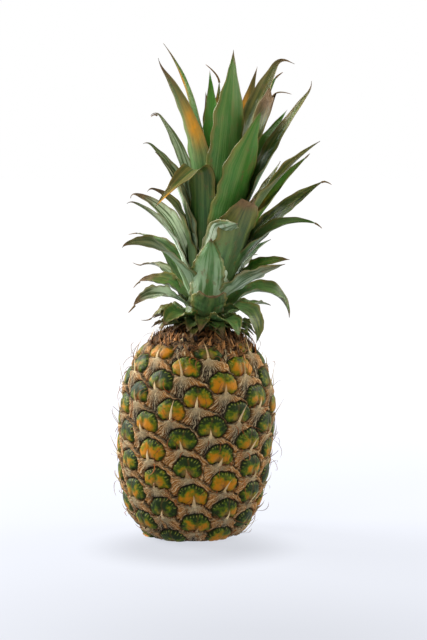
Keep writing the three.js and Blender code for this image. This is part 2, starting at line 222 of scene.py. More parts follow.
def noise(tree, size, detail=2.0, stretch=(1, 1, 1), offset=(0, 0, 0)):
    """Cloudy noise in object space, 0 to 1. size is the width of a blotch in millimetres."""
    place = node(tree, "ShaderNodeTexCoord", output="Object")
    mapping = {"Vector": place, "Scale": stretch, "Location": offset}
    moved = node(tree, "ShaderNodeMapping", None, mapping)
    inputs = {"Vector": moved, "Scale": 1 / (size * MM), "Detail": detail}
    return node(tree, "ShaderNodeTexNoise", None, inputs)


def mix(tree, share, first, second):
    """One colour at share 0, the other at share 1."""
    first, second = ((*c, 1.0) if isinstance(c, tuple) else c for c in (first, second))
    inputs = {"Factor": share, 6: first, 7: second}
    return node(tree, "ShaderNodeMix", {"data_type": "RGBA"}, inputs, 2)


def bumped(tree, height, distance):
    """The surface normal, tilted as if the height, 0 to 1, stood that many millimetres proud."""
    return node(tree, "ShaderNodeBump", None, {"Height": height, "Distance": distance * MM})


# %% [markdown]
# ## How the fruit grows
#
# A pineapple's body is about a hundred fruitlets grown together. Each new one comes 137.5 degrees
# round from the last, a little higher up, and every one takes the same area of skin. That rule alone
# makes the crossing spirals, so no table of places is needed.
#
# The outline is two half superellipses, joined where the fruit is widest. Walking it in small steps
# gives, for every height, the length walked and the number of fruitlets passed.

# %% The outline and the fruitlets' places
FRUIT_TOP = 155.0
FRUIT_RADIUS = 56.0
WIDEST_Z = 92.0
LOWER = (99.5, 2.85)
UPPER = (65.0, 2.2)
FRUIT_LEAN = math.radians(4.2)
GOLDEN_TURN = math.radians(137.508)
FRUITLET_AREA = 532.0
FIRST_AZIMUTH = math.radians(231.7)
TWIST_BELOW = 82.0
TWIST_RATE = math.radians(0.344)
RING_TILT = 0.07

walk_z = np.arange(-60, FRUIT_TOP + 110, 0.25)


def radius_at(z):
    """The superellipse: radius times (1 - share to a power) to the inverse power, where share is
    the distance from the widest height over the reach of that half."""
    z = np.clip(z, 0, FRUIT_TOP)
    reach = np.where(z < WIDEST_Z, LOWER[0], UPPER[0])
    power = np.where(z < WIDEST_Z, LOWER[1], UPPER[1])
    share = np.abs(z - WIDEST_Z) / reach
    return FRUIT_RADIUS * (1 - share**power) ** (1 / power)


walk_r = radius_at(walk_z)
step_length = np.hypot(np.diff(walk_r), np.diff(walk_z))
walk_arc = np.concatenate([[0], np.cumsum(step_length)])
ring_area = math.pi * (walk_r[1:] + walk_r[:-1]) * step_length
walk_count = np.concatenate([[0], np.cumsum(ring_area)]) / FRUITLET_AREA
walk_count -= np.interp(0, walk_z, walk_count)
ARC_BASE = np.interp(0, walk_z, walk_arc)
ARC_TOP = np.interp(FRUIT_TOP, walk_z, walk_arc)


def along_walk(arc, what):
    """What was noted at each step of the walk, read at these lengths along the outline."""
    return np.interp(arc, walk_arc, what)


def growth_at(count, azimuth):
    """Where a place in the even pattern comes on the real fruit, whose rows twist in the lower half
    and whose rings are tilted: its length along the outline and its azimuth."""
    z = np.interp(count, walk_count, walk_z)
    turned = azimuth - TWIST_RATE * np.clip(TWIST_BELOW - np.maximum(0, z), 0, None)
    arc = np.interp(count, walk_count, walk_arc)
    return arc - RING_TILT * np.interp(z, walk_z, walk_r) * np.sin(turned), turned


OUT_R = np.gradient(walk_z, walk_arc)
OUT_Z = -np.gradient(walk_r, walk_arc)


def point_over(arc, azimuth, height):
    """A point at a height over the smooth body: out along the outline's normal, turned round the
    axis, and leaned over with the fruit."""
    r = along_walk(arc, walk_r) + along_walk(arc, OUT_R) * height
    z = along_walk(arc, walk_z) + along_walk(arc, OUT_Z) * height
    x = r * np.sin(azimuth)
    leaned_x = x * math.cos(FRUIT_LEAN) + z * math.sin(FRUIT_LEAN)
    leaned_z = z * math.cos(FRUIT_LEAN) - x * math.sin(FRUIT_LEAN)
    return np.stack([leaned_x, -r * np.cos(azimuth), leaned_z], axis=-1)


fruitlets_at_top = math.ceil(np.interp(FRUIT_TOP, walk_z, walk_count))
numbers = np.arange(-16, fruitlets_at_top + 16)
eye_arc, eye_azimuth = growth_at(numbers, FIRST_AZIMUTH + numbers * GOLDEN_TURN)
eye_radius = along_walk(eye_arc, walk_r)
print("fruitlets on the body:", fruitlets_at_top)

# %% [markdown]
# ## One fruitlet
#
# Each fruitlet shows two things. Its upper part is the eye, a waxy dome with an arched green rim and
# an orange middle. Its lower part is the bract, a papery leaf that lies like a roof tile: its free
# edge runs along the eye's foot, rises to a dry tip over the eye, and falls away to the right until
# it meets the next bract's edge.
#
# For every point of the skin we find the eye that it is in or nearest to, and the bract whose edge
# is the nearest one above it. The distances are plain formulas, so the whole skin is worked out at
# once, in a few blocks so as not to fill the memory.

# %% Which eye and which bract own a point
EYE_HALF_WIDTH = 11.0
EYE_HALF_UP = 10.0
EYE_HALF_DOWN = 5.7
EYE_RISE = 0.5
BRACT_EDGE = -6.0
EDGE_REACH = 23.0
draw = np.random.default_rng(11)
tip_lean = draw.uniform(-1.8, 1.8, len(numbers))
eye_size = 0.74 + 0.26 * smooth((eye_radius - 18) / 24) + draw.uniform(-0.05, 0.04, len(numbers))
eye_tone = draw.uniform(0, 1, len(numbers))
bract_tone = draw.uniform(0, 1, len(numbers))
eye_z = along_walk(eye_arc, walk_z)
edge_slope = 0.5 + 0.22 * smooth((TWIST_BELOW - eye_z) / 40)


def eye_distance(u, v, size, lean):
    """0 at the eye's middle and 1 on its edge: half a circle above its widest line and a flatter,
    squarer half below, with a notch in its foot where the dry tip rises."""
    up = (v - EYE_RISE) / size
    across = u / size
    up = up - 1.3 * bump(across - lean, 2.4) * smooth((1.5 - up) / 4)
    high = np.where(up > 0, EYE_HALF_UP, EYE_HALF_DOWN)
    power = np.where(up > 0, 2.1, 3.1)
    return (np.abs(across / EYE_HALF_WIDTH) ** power + np.abs(up / high) ** power) ** (1 / power)


def edge_height(u, size, slope, lean):
    """The free edge of a bract: level under its eye, raised at the dry tip and falling away to the
    right, past the eye's corner."""
    past = np.clip(u - 0.74 * EYE_HALF_WIDTH * size, 0, None)
    return BRACT_EDGE * size + 1.5 * bump(u - lean, 2.2) - slope * past


def owners(arc, azimuth, radius):
    """For each point: the nearest eye, its distance and the point's place in it, and the bract
    whose edge is the nearest above the point, with the distances to the edges above and below."""
    turn = azimuth[:, None] - eye_azimuth[None]
    u = radius[:, None] * (turn - 2 * math.pi * np.round(turn / (2 * math.pi)))
    v = arc[:, None] - eye_arc[None]
    near_eye = eye_distance(u, v, eye_size[None], tip_lean[None])
    under = edge_height(u, eye_size[None], edge_slope[None], tip_lean[None]) - v
    reached = (u > -1.06 * EYE_HALF_WIDTH * eye_size[None]) & (u < EDGE_REACH)
    depth = np.where(reached & (under >= 0), under, 40)
    rows = np.arange(len(arc))
    eye = near_eye.argmin(axis=1)
    bract = depth.argmin(axis=1)
    return {
        "eye": eye,
        "eye_distance": near_eye[rows, eye],
        "eye_u": u[rows, eye],
        "eye_v": v[rows, eye],
        "bract": bract,
        "bract_u": u[rows, bract],
        "depth": depth[rows, bract],
        "over": np.where(reached & (under < 0), -under, 40).min(axis=1),
    }


def uneven(arc, azimuth):
    """Two small shifts of the pattern, sums of sines round and up the fruit, that keep its lines
    from being drawn with compasses."""
    up = 0.45 * np.sin(azimuth * 29 + arc * 0.21) + 0.3 * np.sin(azimuth * 53 - arc * 0.47)
    side = 0.4 * np.sin(arc * 0.55 + azimuth * 17) + 0.3 * np.sin(arc * 0.9 - azimuth * 41)
    return up, side


def owners_in_blocks(arc, azimuth, radius, block=20000):
    """The owners of all the points, after the small shifts, one block of points at a time."""
    up, side = uneven(arc, azimuth)
    arc = arc + up
    azimuth = azimuth + side / radius
    parts = [
        owners(arc[i : i + block], azimuth[i : i + block], radius[i : i + block])
        for i in range(0, len(arc), block)
    ]
    return {key: np.concatenate([part[key] for part in parts]) for key in parts[0]}


# %% [markdown]
# ## The relief of the skin
#
# The eye's dome rises steeply from a groove and is flat in its middle, with a shallow crease behind
# the dry tip and small beads along its rim. The bract is highest at its free edge, with fine
# wrinkles that fan out from the root of its tip, and sinks below until the next edge covers it.

# %% Heights over the smooth body
def relief(own):
    """The height in millimetres over the smooth body, and the masks that the skin's colours use."""
    eye, distance = own["eye"], own["eye_distance"]
    across = own["eye_u"] - tip_lean[eye]
    up = own["eye_v"] - EYE_RISE
    inside = np.clip(1 - distance, 0, 1)
    dome = 3.1 * (1 - np.clip(distance, 0, 1) ** 2.9) ** 0.62
    crease = 0.8 * bump(across, 1.4) * smooth((8 - up) / 9) * smooth(inside * 3)
    around = np.arctan2(up, own["eye_u"])
    beads = np.sin(around * 23 + 6 * eye_tone[eye]) * bump(distance - 0.86, 0.1)
    beads = np.clip(beads, 0, 1) * smooth((up + 2) / 5)

    gap = (distance - 1) * 9
    upper_side = smooth((up + 4.5) / 4)
    groove = bump(gap - 0.3, 0.62) * (0.45 + 0.55 * upper_side)

    bract, depth = own["bract"], own["depth"]
    side = own["bract_u"] - tip_lean[bract]
    span = np.abs(side) / 11
    edge_gap = np.minimum(depth, own["over"] * 1.6)
    ridge = bump(edge_gap, 0.75) * (1 - 0.45 * smooth(span))
    star = np.exp(-np.hypot(side * 0.8, depth * 0.55) / 2.3)
    fan = np.arctan2(side, 2.5 + depth)
    streak = np.sin(fan * 17 + 9 * bract_tone[bract]) + 0.7 * np.sin(fan * 31 + 17 * eye_tone[bract])
    streak = streak + 0.7 * np.sin(fan * 47 + depth * 0.6) + 0.5 * np.sin(depth * 1.9 + side * 0.5)
    outside = smooth((distance - 0.98) / 0.08)
    sunk = smooth((own["depth"] - 2) / 12)
    mound = 2.3 - 2.0 * sunk + 0.8 * ridge + 0.9 * star + 0.12 * streak * smooth(depth / 2)
    crevice = bump(own["over"] - 0.9, 0.6) * (own["over"] < own["depth"])
    height = dome - crease + 0.3 * beads - 1.2 * groove + outside * (mound - crevice)
    masks = {
        "eye_distance": np.minimum(distance, 2),
        "eye_up": up,
        "eye_across": across,
        "eye_tone": eye_tone[eye],
        "beads": beads,
        "unripe": np.hypot((np.abs(across) - 4.2) / 5.6, (up + 0.6) / 5.4),
        "bract_side": side,
        "bract_depth": np.minimum(depth, 20),
        "bract_tone": bract_tone[bract],
        "streak": streak,
        "star": star,
        "ridge": ridge,
        "crevice": outside * crevice,
    }
    return height, masks


# %% [markdown]
# ## The skin as one grid
#
# The skin is a grid of rings up the outline. It starts at the roof of the pocket that holds the cut
# stalk, comes down the pocket's wall, crosses the flat base and climbs the outside to a small flat
# top that the crown hides. A sculpted mesh would do too, but a grid keeps the faces even, and its
# seam and poles close by themselves.

# %% Build the skin
SKIN_COLUMNS = 432
SKIN_ROWS = 216
STALK_POCKET = (10.35, 12.35)
SHOULDER = (137, 151)

arc_rows = np.linspace(ARC_BASE - 5, ARC_TOP, SKIN_ROWS)
azimuth_columns = np.arange(SKIN_COLUMNS) * 2 * math.pi / SKIN_COLUMNS
arc, azimuth = (g.ravel() for g in np.meshgrid(arc_rows, azimuth_columns, indexing="ij"))
own = owners_in_blocks(arc, azimuth, along_walk(arc, walk_r))
height, masks = relief(own)
skin_points = point_over(arc, azimuth, height)
skin_points[:, 2] = np.clip(skin_points[:, 2], 0, None)
masks["shoulder"] = smooth((skin_points[:, 2] - SHOULDER[0]) / (SHOULDER[1] - SHOULDER[0]))


def ring(radius, z):
    """A level circle under the fruit, with a column for each column of the skin."""
    x = radius * np.sin(azimuth_columns)
    return np.stack([x, -radius * np.cos(azimuth_columns), np.full(SKIN_COLUMNS, z)], axis=-1)


pocket_r, pocket_z = STALK_POCKET
pocket_rings = [(0.5, pocket_z), (pocket_r, pocket_z), (pocket_r, 0.0)]
pocket = np.concatenate([ring(r, z) for r, z in pocket_rings])
fruit_points = np.concatenate([pocket, skin_points])
fruit_faces = capped_tube(len(pocket_rings) + SKIN_ROWS, SKIN_COLUMNS)
padding = np.zeros(len(pocket))
fruit_numbers = {key: np.concatenate([padding + values[0], values]) for key, values in masks.items()}
fruit = mesh_piece("fruit_skin", fruit_points, fruit_faces, fruit_numbers)
print("skin faces:", len(fruit_faces))

# %% [markdown]
# ## The skin's colours
#
# The masks are numbers on the mesh, so each colour zone follows the eyes exactly. An image painted
# by hand would do the same, but all the eyes would have to be painted, and a number stays sharp at
# any size. Noise in object space breaks up every edge. First come the colours, most as a maker would
# name them on a real fruit, and a few for painted shade and a painted highlight.

# %% The colours on the palette
ORANGE = srgb(172, 108, 0)
AMBER = srgb(146, 102, 0)
OLIVE = srgb(112, 106, 2)
LEAF_GREEN = srgb(62, 82, 2)
DARK_GREEN = srgb(22, 40, 4)
RIM_GREEN = srgb(36, 44, 8)
BEAD_HIGHLIGHT = srgb(148, 156, 66)
FLUSH = srgb(146, 110, 66)
CREASE_BROWN_AND_SHADE = srgb(96, 66, 24)
BRUISE_BROWN = srgb(58, 42, 10)
OUTLINE_BROWN = srgb(17, 10, 5)
TAN = srgb(134, 101, 58)
GREY_BROWN = srgb(66, 50, 34)
PURPLE_GREY = srgb(48, 34, 28)
PAINTED_SHADE_BROWN = srgb(40, 28, 18)
RUST = srgb(158, 104, 48)
CREAM = srgb(228, 208, 166)
CRUST = (srgb(26, 18, 12), srgb(136, 104, 70))

# %% [markdown]
# An eye ripens from the middle of each of its halves: orange there, amber and olive round it, and
# green towards the arched rim. A colour ramp says that in one line, and the noise and a tone of the
# eye's own shift it, so no two eyes have the same share of green. Over it lie a pale flush beside
# the dry tip, a brown crease that is partly painted shade, a darker rim, a few bruises, and the
# pale beads, whose colour is a painted highlight.

# %% The colours of an eye
RIPENING = [(0.16, ORANGE), (0.36, AMBER), (0.52, OLIVE), (0.7, LEAF_GREEN), (0.95, DARK_GREEN)]


def eye_colours(tree, distance, up, blotch, patch, speck):
    """The ramp's place is half the distance from the nearer half's middle, plus the noise."""
    mottled = (blotch - 0.5) * 1.2 + (patch - 0.5) * 1.1 + attribute(tree, "eye_tone") * 0.6 - 0.02
    unripe = attribute(tree, "unripe") * 0.5 + mottled
    eye = node(tree, "ShaderNodeValToRGB", {"stops": RIPENING}, {"Fac": unripe})
    off_middle = attribute(tree, "eye_across").math("ABSOLUTE")
    near_tip = (1 - off_middle * 0.2).clamped() * (1 - (up + 3) * 0.2).clamped()
    eye = mix(tree, (near_tip * (0.35 + speck * 1.1)).clamped(), eye, FLUSH)
    # The brown crease is partly the eye's own colour and partly painted shade in the crease.
    crease = (1 - off_middle * 0.9).clamped() * (speck + 0.2)
    eye = mix(tree, crease.clamped() * 0.55, eye, CREASE_BROWN_AND_SHADE)
    rim = (distance + (speck - 0.5) * 0.2).step(0.82, 1.0)
    eye = mix(tree, rim * 0.65, eye, RIM_GREEN)
    bruise = (speck * 1.6 + patch - 1.45).clamped() * 1.6
    eye = mix(tree, bruise.clamped() * 0.6, eye, BRUISE_BROWN)
    # The pale beads on the rim are a painted highlight.
    beads = attribute(tree, "beads") * (0.4 + speck)
    return mix(tree, (beads * 1.2 - 0.25).clamped(), eye, BEAD_HIGHLIGHT)


# %% [markdown]
# A bract is dry and papery: tan under its free edge, grey and purplish where it sinks, and darker
# the deeper it lies under the edge above. The grey and purple are partly its own colour and partly
# painted shade, and the darkening with depth is painted shade. It is rust at its sides, and cream
# where its fibres run together at the root of the tip. Two waves over the angle round that root
# give the fibres, which an even pattern on the surface couldn't, because they fan.

# %% The colours of a bract
def bract_colours(tree, blotch, patch, speck, fine):
    """The bract's colour, and the height of its fibres: sines of the angle round the tip's root,
    shifted by noise so that no fibre is straight."""
    side = attribute(tree, "bract_side")
    depth = attribute(tree, "bract_depth")
    fan = side.math("ARCTAN2", depth + 2.5)
    hair = (fan * 40 + blotch * 14 + speck * 5 + depth * 0.5).math("SINE") * 0.5 + 0.5
    thread = (fan * 97 - patch * 16 + depth * 1.3).math("SINE") * 0.5 + 0.5
    streak = attribute(tree, "streak") * 0.1 + 0.2 + hair * 0.35 + thread * 0.3
    width = side.math("ABSOLUTE")

    # Grey brown and then purple grey as the bract sinks under the edge above: partly its own colour,
    # partly painted shade.
    low = (depth * 0.16 + (blotch - 0.5) * 1.2 - 0.35).clamped()
    bract = mix(tree, low, TAN, GREY_BROWN)
    sunken_tint_and_shade = (depth - 3.5).step(0.0, 4.0) * (1 - width * 0.13).clamped()
    bract = mix(tree, (sunken_tint_and_shade * (0.5 + blotch)).clamped(), bract, PURPLE_GREY)
    # Painted shade, darker the deeper the bract lies under the edge above.
    painted_depth_shade = ((depth * 0.12 - 0.25) + (patch - 0.5) * 1.8).clamped()
    bract = mix(tree, painted_depth_shade * 0.85, bract, PAINTED_SHADE_BROWN)
    warmth = width * 0.14 + (blotch - 0.5) * 1.6 + attribute(tree, "bract_tone") * 0.4 - 0.45
    bract = mix(tree, warmth.clamped(), bract, RUST)
    bract = mix(tree, (streak * 1.5 + fine * 1.1 - 1.3).clamped(), bract, CREAM)
    cracks = (0.42 - streak + (speck - 0.5) * 1.5).clamped() * 2
    bract = mix(tree, cracks.clamped(), bract, OUTLINE_BROWN)
    pale = attribute(tree, "ridge") * 0.75 + attribute(tree, "star") * 1.1
    bract = mix(tree, (pale * (0.35 + fine * 0.9) - 0.08).clamped(), bract, CREAM)
    return bract, streak


# %% [markdown]
# The whole skin is the eyes' colour inside their edges and the bracts' outside, with a dark line
# between them, painted shade in the crevices under the free edges, and a dry crust over the
# shoulder. The eyes are waxy and the bracts dull, so the same edge sets the roughness too.

# %% Paint the skin
def paint_skin():
    """The skin's material: eyes and bracts, joined where the distance from an eye is 1."""
    material, tree, shader = new_material("pineapple_skin")
    distance = attribute(tree, "eye_distance")
    up = attribute(tree, "eye_up")
    blotch = noise(tree, 7, 3)
    patch = noise(tree, 3.2, 2)
    speck = noise(tree, 1.6, 3)
    fine = noise(tree, 0.7, 2)
    eye = eye_colours(tree, distance, up, blotch, patch, speck)
    bract, streak = bract_colours(tree, blotch, patch, speck, fine)

    edge = (distance + (fine - 0.5) * 0.08).step(0.96, 1.04)
    colour = mix(tree, edge, eye, bract)
    off_line = ((distance - 1) * 10 - 0.2 + (speck - 0.5) * 1.2).math("ABSOLUTE")
    outline = (1.15 - off_line * 1.25).clamped() * (0.65 + (up * 0.1).clamped() * 0.5)
    colour = mix(tree, outline.clamped() * 0.9, colour, OUTLINE_BROWN)
    crusted = attribute(tree, "shoulder") + (blotch - 0.5) * 1.3 + (patch - 0.5) * 0.8
    shoulder = crusted.step(0.3, 0.75)
    crust = mix(tree, (speck * 2.4 - 0.8).clamped(), *CRUST)
    colour = mix(tree, shoulder, colour, crust)
    # Painted shade in the crevices under the bracts' free edges.
    crevice_shade = (attribute(tree, "crevice") * 1.3 - 0.15 + (fine - 0.5) * 0.6).clamped()
    colour = mix(tree, crevice_shade * 0.85, colour, OUTLINE_BROWN)
    grain = speck * 0.4 + fine * 0.4 + streak * edge * 0.9
    plug(
        shader,
        Base_Color=colour,
        Roughness=0.5 + edge.math("MAXIMUM", shoulder) * 0.35 + (speck - 0.5) * 0.2,
        Specular_IOR_Level=0.14,
        Normal=bumped(tree, grain, 0.8),
    )
    return material


fruit.data.materials.append(paint_skin())
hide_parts("fruit")
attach(fruit, "root")
print("skin painted with", len(masks), "masks")

# %% [markdown]
# ## Dry tips, scales and fibres
#
# Each bract ends in a papery spike, the bracts of the shoulder are dry scales, and torn fibres curl
# off the edges all over the fruit. All three are the same shape, a tapered tube along a path over
# the skin, so one function makes them. Particles or hair could grow them too, but a mesh keeps each
# root where its bract is.

# %% A tapered tube along a path over the skin
SPIKE_FLOOR = 0.4


def spikes(name, arc_line, azimuth_line, height, width, flat, sides, tone):
    """One mesh of many tubes. Each row of the arrays is one path; each section is an ellipse round
    a point of it, width to each side and flat times that thick, square to the skin."""
    count, stations = arc_line.shape
    angle = np.arange(sides) * 2 * math.pi / sides
    radius = along_walk(arc_line, walk_r)[..., None]
    u = width[..., None] * np.cos(angle)
    points = point_over(
        np.broadcast_to(arc_line[..., None], u.shape),
        azimuth_line[..., None] + u / radius,
        height[..., None] + flat * width[..., None] * np.sin(angle),
    )
    points[..., 2] = np.maximum(points[..., 2], SPIKE_FLOOR)
    per_spike = stations * sides
    faces = []
    for first in range(0, count * per_spike, per_spike):
        faces += capped_tube(stations, sides, first)
    share = np.broadcast_to(np.linspace(0, 1, stations)[None, :, None], u.shape)
    tones = np.broadcast_to(tone[:, None, None], u.shape)
    return mesh_piece(name, points.reshape(-1, 3), faces, {"along": share, "tone": tones})


# %% [markdown]
# Dry plant fibre is the same stuff in a tip, a scale or a torn thread, so they share one finish, and
# only its two main colours are chosen for each.

# %% The finish of dry fibre
DRY_RUST = srgb(140, 84, 40)


def paint_dry(name, pale, brown):
    """Papery: pale or brown by the piece's own tone, greyer along its fibres, rust at its end."""
    material, tree, shader = new_material(name)
    fibre = noise(tree, 0.8, 2, (1, 1, 0.25))
    blotch = noise(tree, 5, 2)
    tone = attribute(tree, "tone") + (blotch - 0.5) * 0.8
    colour = mix(tree, tone.clamped(), pale, brown)
    colour = mix(tree, (fibre * 1.5 - 0.75).clamped() * 0.6, colour, GREY_BROWN)
    near_end = attribute(tree, "along").step(0.6, 1.0)
    colour = mix(tree, near_end * blotch, colour, DRY_RUST)
    plug(shader, Base_Color=colour, Roughness=0.75, Specular_IOR_Level=0.15)
    plug(shader, Normal=bumped(tree, fibre, 0.3))
    return material


def dress_fruit(piece, material):
    """Gives a piece its finish and says that it belongs to the fruit's skin."""
    piece.data.materials.append(material)
    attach(piece, "root")
    print(piece.name, "faces:", len(piece.data.polygons))


def drawn(low, high, count):
    """One even draw for each piece, as a column, so that it spreads along the piece's stations."""
    return draw.uniform(low, high, count)[:, None]


# %% [markdown]
# A bract's tip rises from its free edge and lies over its eye. It is widest at its root and ends in
# a point. Most tips lie flat, and about three in ten have curled away from the skin. The path's
# length, sway and curl are drawn for each tip.

# %% The tips over the eyes
TIP_STATIONS = 12
TIP_SIDES = 6
TIP_FLATNESS = 0.36
TIP_REACH = (7.0, 11.0)
TIP_SWAY = 2.0
TIP_HALF_WIDTH = (1.2, 2.2)
TIP_ROOT_UNDER_EDGE = 1.2
CURLED_SHARE = 0.3
CURLED_LENGTHENS = 1.6
CURLED_SWAYS = 2.4
CURLED_NARROWS = 0.65
CURL_HEIGHT = (2, 8)
DRY_CREAM = srgb(214, 190, 146)

tipped = np.flatnonzero((eye_z > 9) & (eye_arc < ARC_TOP - 10))
tip_count = len(tipped)
t = np.linspace(0, 1, TIP_STATIONS)[None]
size = eye_size[tipped][:, None]
curled = drawn(0, 1, tip_count) < CURLED_SHARE
reach = drawn(*TIP_REACH, tip_count) * np.where(curled, CURLED_LENGTHENS, 1) * size
sway = drawn(-TIP_SWAY, TIP_SWAY, tip_count) * np.where(curled, CURLED_SWAYS, 1)
rise = np.sin(np.minimum(1, t * 1.25) * math.pi / 2)
lift = 1.6 + 3.2 * rise * np.where(t < 0.16, t / 0.16, 1)
curl = np.where(curled, drawn(*CURL_HEIGHT, tip_count) * t**2.2, 0.2 * t)
narrowed = np.where(curled, CURLED_NARROWS, 1)
tips = spikes(
    "bract_tips",
    eye_arc[tipped][:, None] + (BRACT_EDGE - TIP_ROOT_UNDER_EDGE) * size + t * reach,
    eye_azimuth[tipped][:, None] + (tip_lean[tipped][:, None] + sway * t**2) / eye_radius[tipped][:, None],
    lift + curl,
    drawn(*TIP_HALF_WIDTH, tip_count) * (1 - t) ** 1.1 * narrowed + 0.1,
    TIP_FLATNESS,
    TIP_SIDES,
    draw.uniform(0, 0.8, tip_count),
)
dress_fruit(tips, paint_dry("dry_tip", DRY_CREAM, TAN))

# %% [markdown]
# On the shoulder under the crown the bracts are crowded, small and quite dry, and hide their eyes.
# Modelling each as a fruitlet would be lost work, because only their ragged ends are seen. So they
# are short flat spikes, spread evenly over the shoulder, each turned its own way.

# %% The crowded dry scales of the shoulder
SCALE_COUNT = 520
SCALE_STATIONS = 6
SCALE_SIDES = 4
SCALE_FLATNESS = 0.3
SCALE_BAND = (3, 27)
SCALE_LENGTH = (3.5, 9)
SCALE_TURN = 0.9
SCALE_LIFT = (1.5, 6)
SCALE_HALF_WIDTH = (0.9, 2.2)
SCALE_BROWN = srgb(188, 132, 78)

t = np.linspace(0, 1, SCALE_STATIONS)[None]
low = drawn(0, 1, SCALE_COUNT) ** 0.8
scale_arc = ARC_TOP - SCALE_BAND[0] - SCALE_BAND[1] * low
length = drawn(*SCALE_LENGTH, SCALE_COUNT)
turn = draw.normal(0, SCALE_TURN, SCALE_COUNT)[:, None]
scale_radius = np.maximum(along_walk(scale_arc, walk_r), 12)
scales = spikes(
    "shoulder_scales",
    scale_arc + length * np.cos(turn) * t,
    drawn(0, 2 * math.pi, SCALE_COUNT) + length * np.sin(turn) * t / scale_radius,
    1.2 + drawn(*SCALE_LIFT, SCALE_COUNT) * t**1.3,
    drawn(*SCALE_HALF_WIDTH, SCALE_COUNT) * (1 - t) ** 0.8 + 0.08,
    SCALE_FLATNESS,
    SCALE_SIDES,
    draw.uniform(0, 1, SCALE_COUNT) ** 0.5,
)
dress_fruit(scales, paint_dry("shoulder_scale", SCALE_BROWN, OUTLINE_BROWN))

# %% [markdown]
# Handling tears threads off the edges of the bracts, and against a white ground they are what gives
# the fruit its rough outline. Each starts at a bract's free edge. Seen from there its direction
# turns evenly along its length, and its height over the skin follows a sine, so that it arches up.

# %% The torn fibres
FIBRE_COUNT = 300
FIBRE_STATIONS = 11
FIBRE_SIDES = 4
FIBRE_FLATNESS = 0.8
FIBRE_LONGEST = 13.0
FIBRE_HALF_WIDTH = (0.2, 0.45)
FIBRE_ARCH = (0.05, 0.8)
FIBRE_RUST = srgb(150, 84, 36)
FIBRE_BROWN = srgb(84, 44, 22)

t = np.linspace(0, 1, FIBRE_STATIONS)[None]
owner = draw.choice(tipped, FIBRE_COUNT)
across = drawn(-9, 10, FIBRE_COUNT)
length = np.minimum(draw.gamma(2.4, 3.0, FIBRE_COUNT)[:, None] + 3, FIBRE_LONGEST)
heading = drawn(-0.4, 3.5, FIBRE_COUNT)
bend = draw.normal(0, 1.3, FIBRE_COUNT)[:, None]
sideways = length * np.cos(heading + bend * t) * t
upwards = length * np.sin(heading + bend * t) * t
fibres = spikes(
    "torn_fibres",
    eye_arc[owner][:, None] + BRACT_EDGE * eye_size[owner][:, None] - 0.5 + upwards,
    eye_azimuth[owner][:, None] + (across + sideways) / eye_radius[owner][:, None],
    1.8 + drawn(*FIBRE_ARCH, FIBRE_COUNT) * length * np.sin(t * 1.9),
    drawn(*FIBRE_HALF_WIDTH, FIBRE_COUNT) * (1 - t) ** 0.6 + 0.07,
    FIBRE_FLATNESS,
    FIBRE_SIDES,
    draw.uniform(0, 1, FIBRE_COUNT),
)
dress_fruit(fibres, paint_dry("torn_fibre", FIBRE_RUST, FIBRE_BROWN))

# %% [markdown]
# ## A leaf of the crown
#
# The crown sits on the fruit a little off its axis and tilted, so its leaves are worked out in a
# frame of the crown's own, with the stem along Z, and carried to the fruit's at the end.

# %% The crown's frame and its stem
CROWN_AT = np.array([11.2, 0, FRUIT_TOP])
CROWN_TILT = math.radians(5)
STEM_HEIGHT = 74.0
STEM_RADII = (17.0, 5.0)


def to_fruit(points):
    """From the crown's own frame, with its stem along Z, to the fruit's."""
    x, y, z = points[..., 0], points[..., 1], points[..., 2]
    turned_x = x * math.cos(CROWN_TILT) + z * math.sin(CROWN_TILT)
    turned_z = z * math.cos(CROWN_TILT) - x * math.sin(CROWN_TILT)
    return np.stack([turned_x, y, turned_z], axis=-1) + CROWN_AT


def stem_radius(z):
    """From the foot's radius to the top's, a little faster at first than a straight cone."""
    t = np.clip(z / STEM_HEIGHT, 0, 1)
    return STEM_RADII[0] + (STEM_RADII[1] - STEM_RADII[0]) * t**0.9


# %% [markdown]
# A pineapple leaf is a long pointed blade, folded into a channel along its length. Its midrib is a
# path whose angle from the stem changes from root to tip, and the blade is a section carried along
# that path. Curves with a bevel could draw the path, but they can't give the channel its changing
# depth. Some leaves are folded over at a kink, and some dry tips curl on their last few millimetres.

# %% The midrib of a leaf
LEAF_CLEARANCE = 1.25
LEAF_BEND = 1.4
KINK_LENGTH = 0.09
CURL_FROM = 0.93
CURL_POWER = 1.3
MIDRIB_STEPS = 240


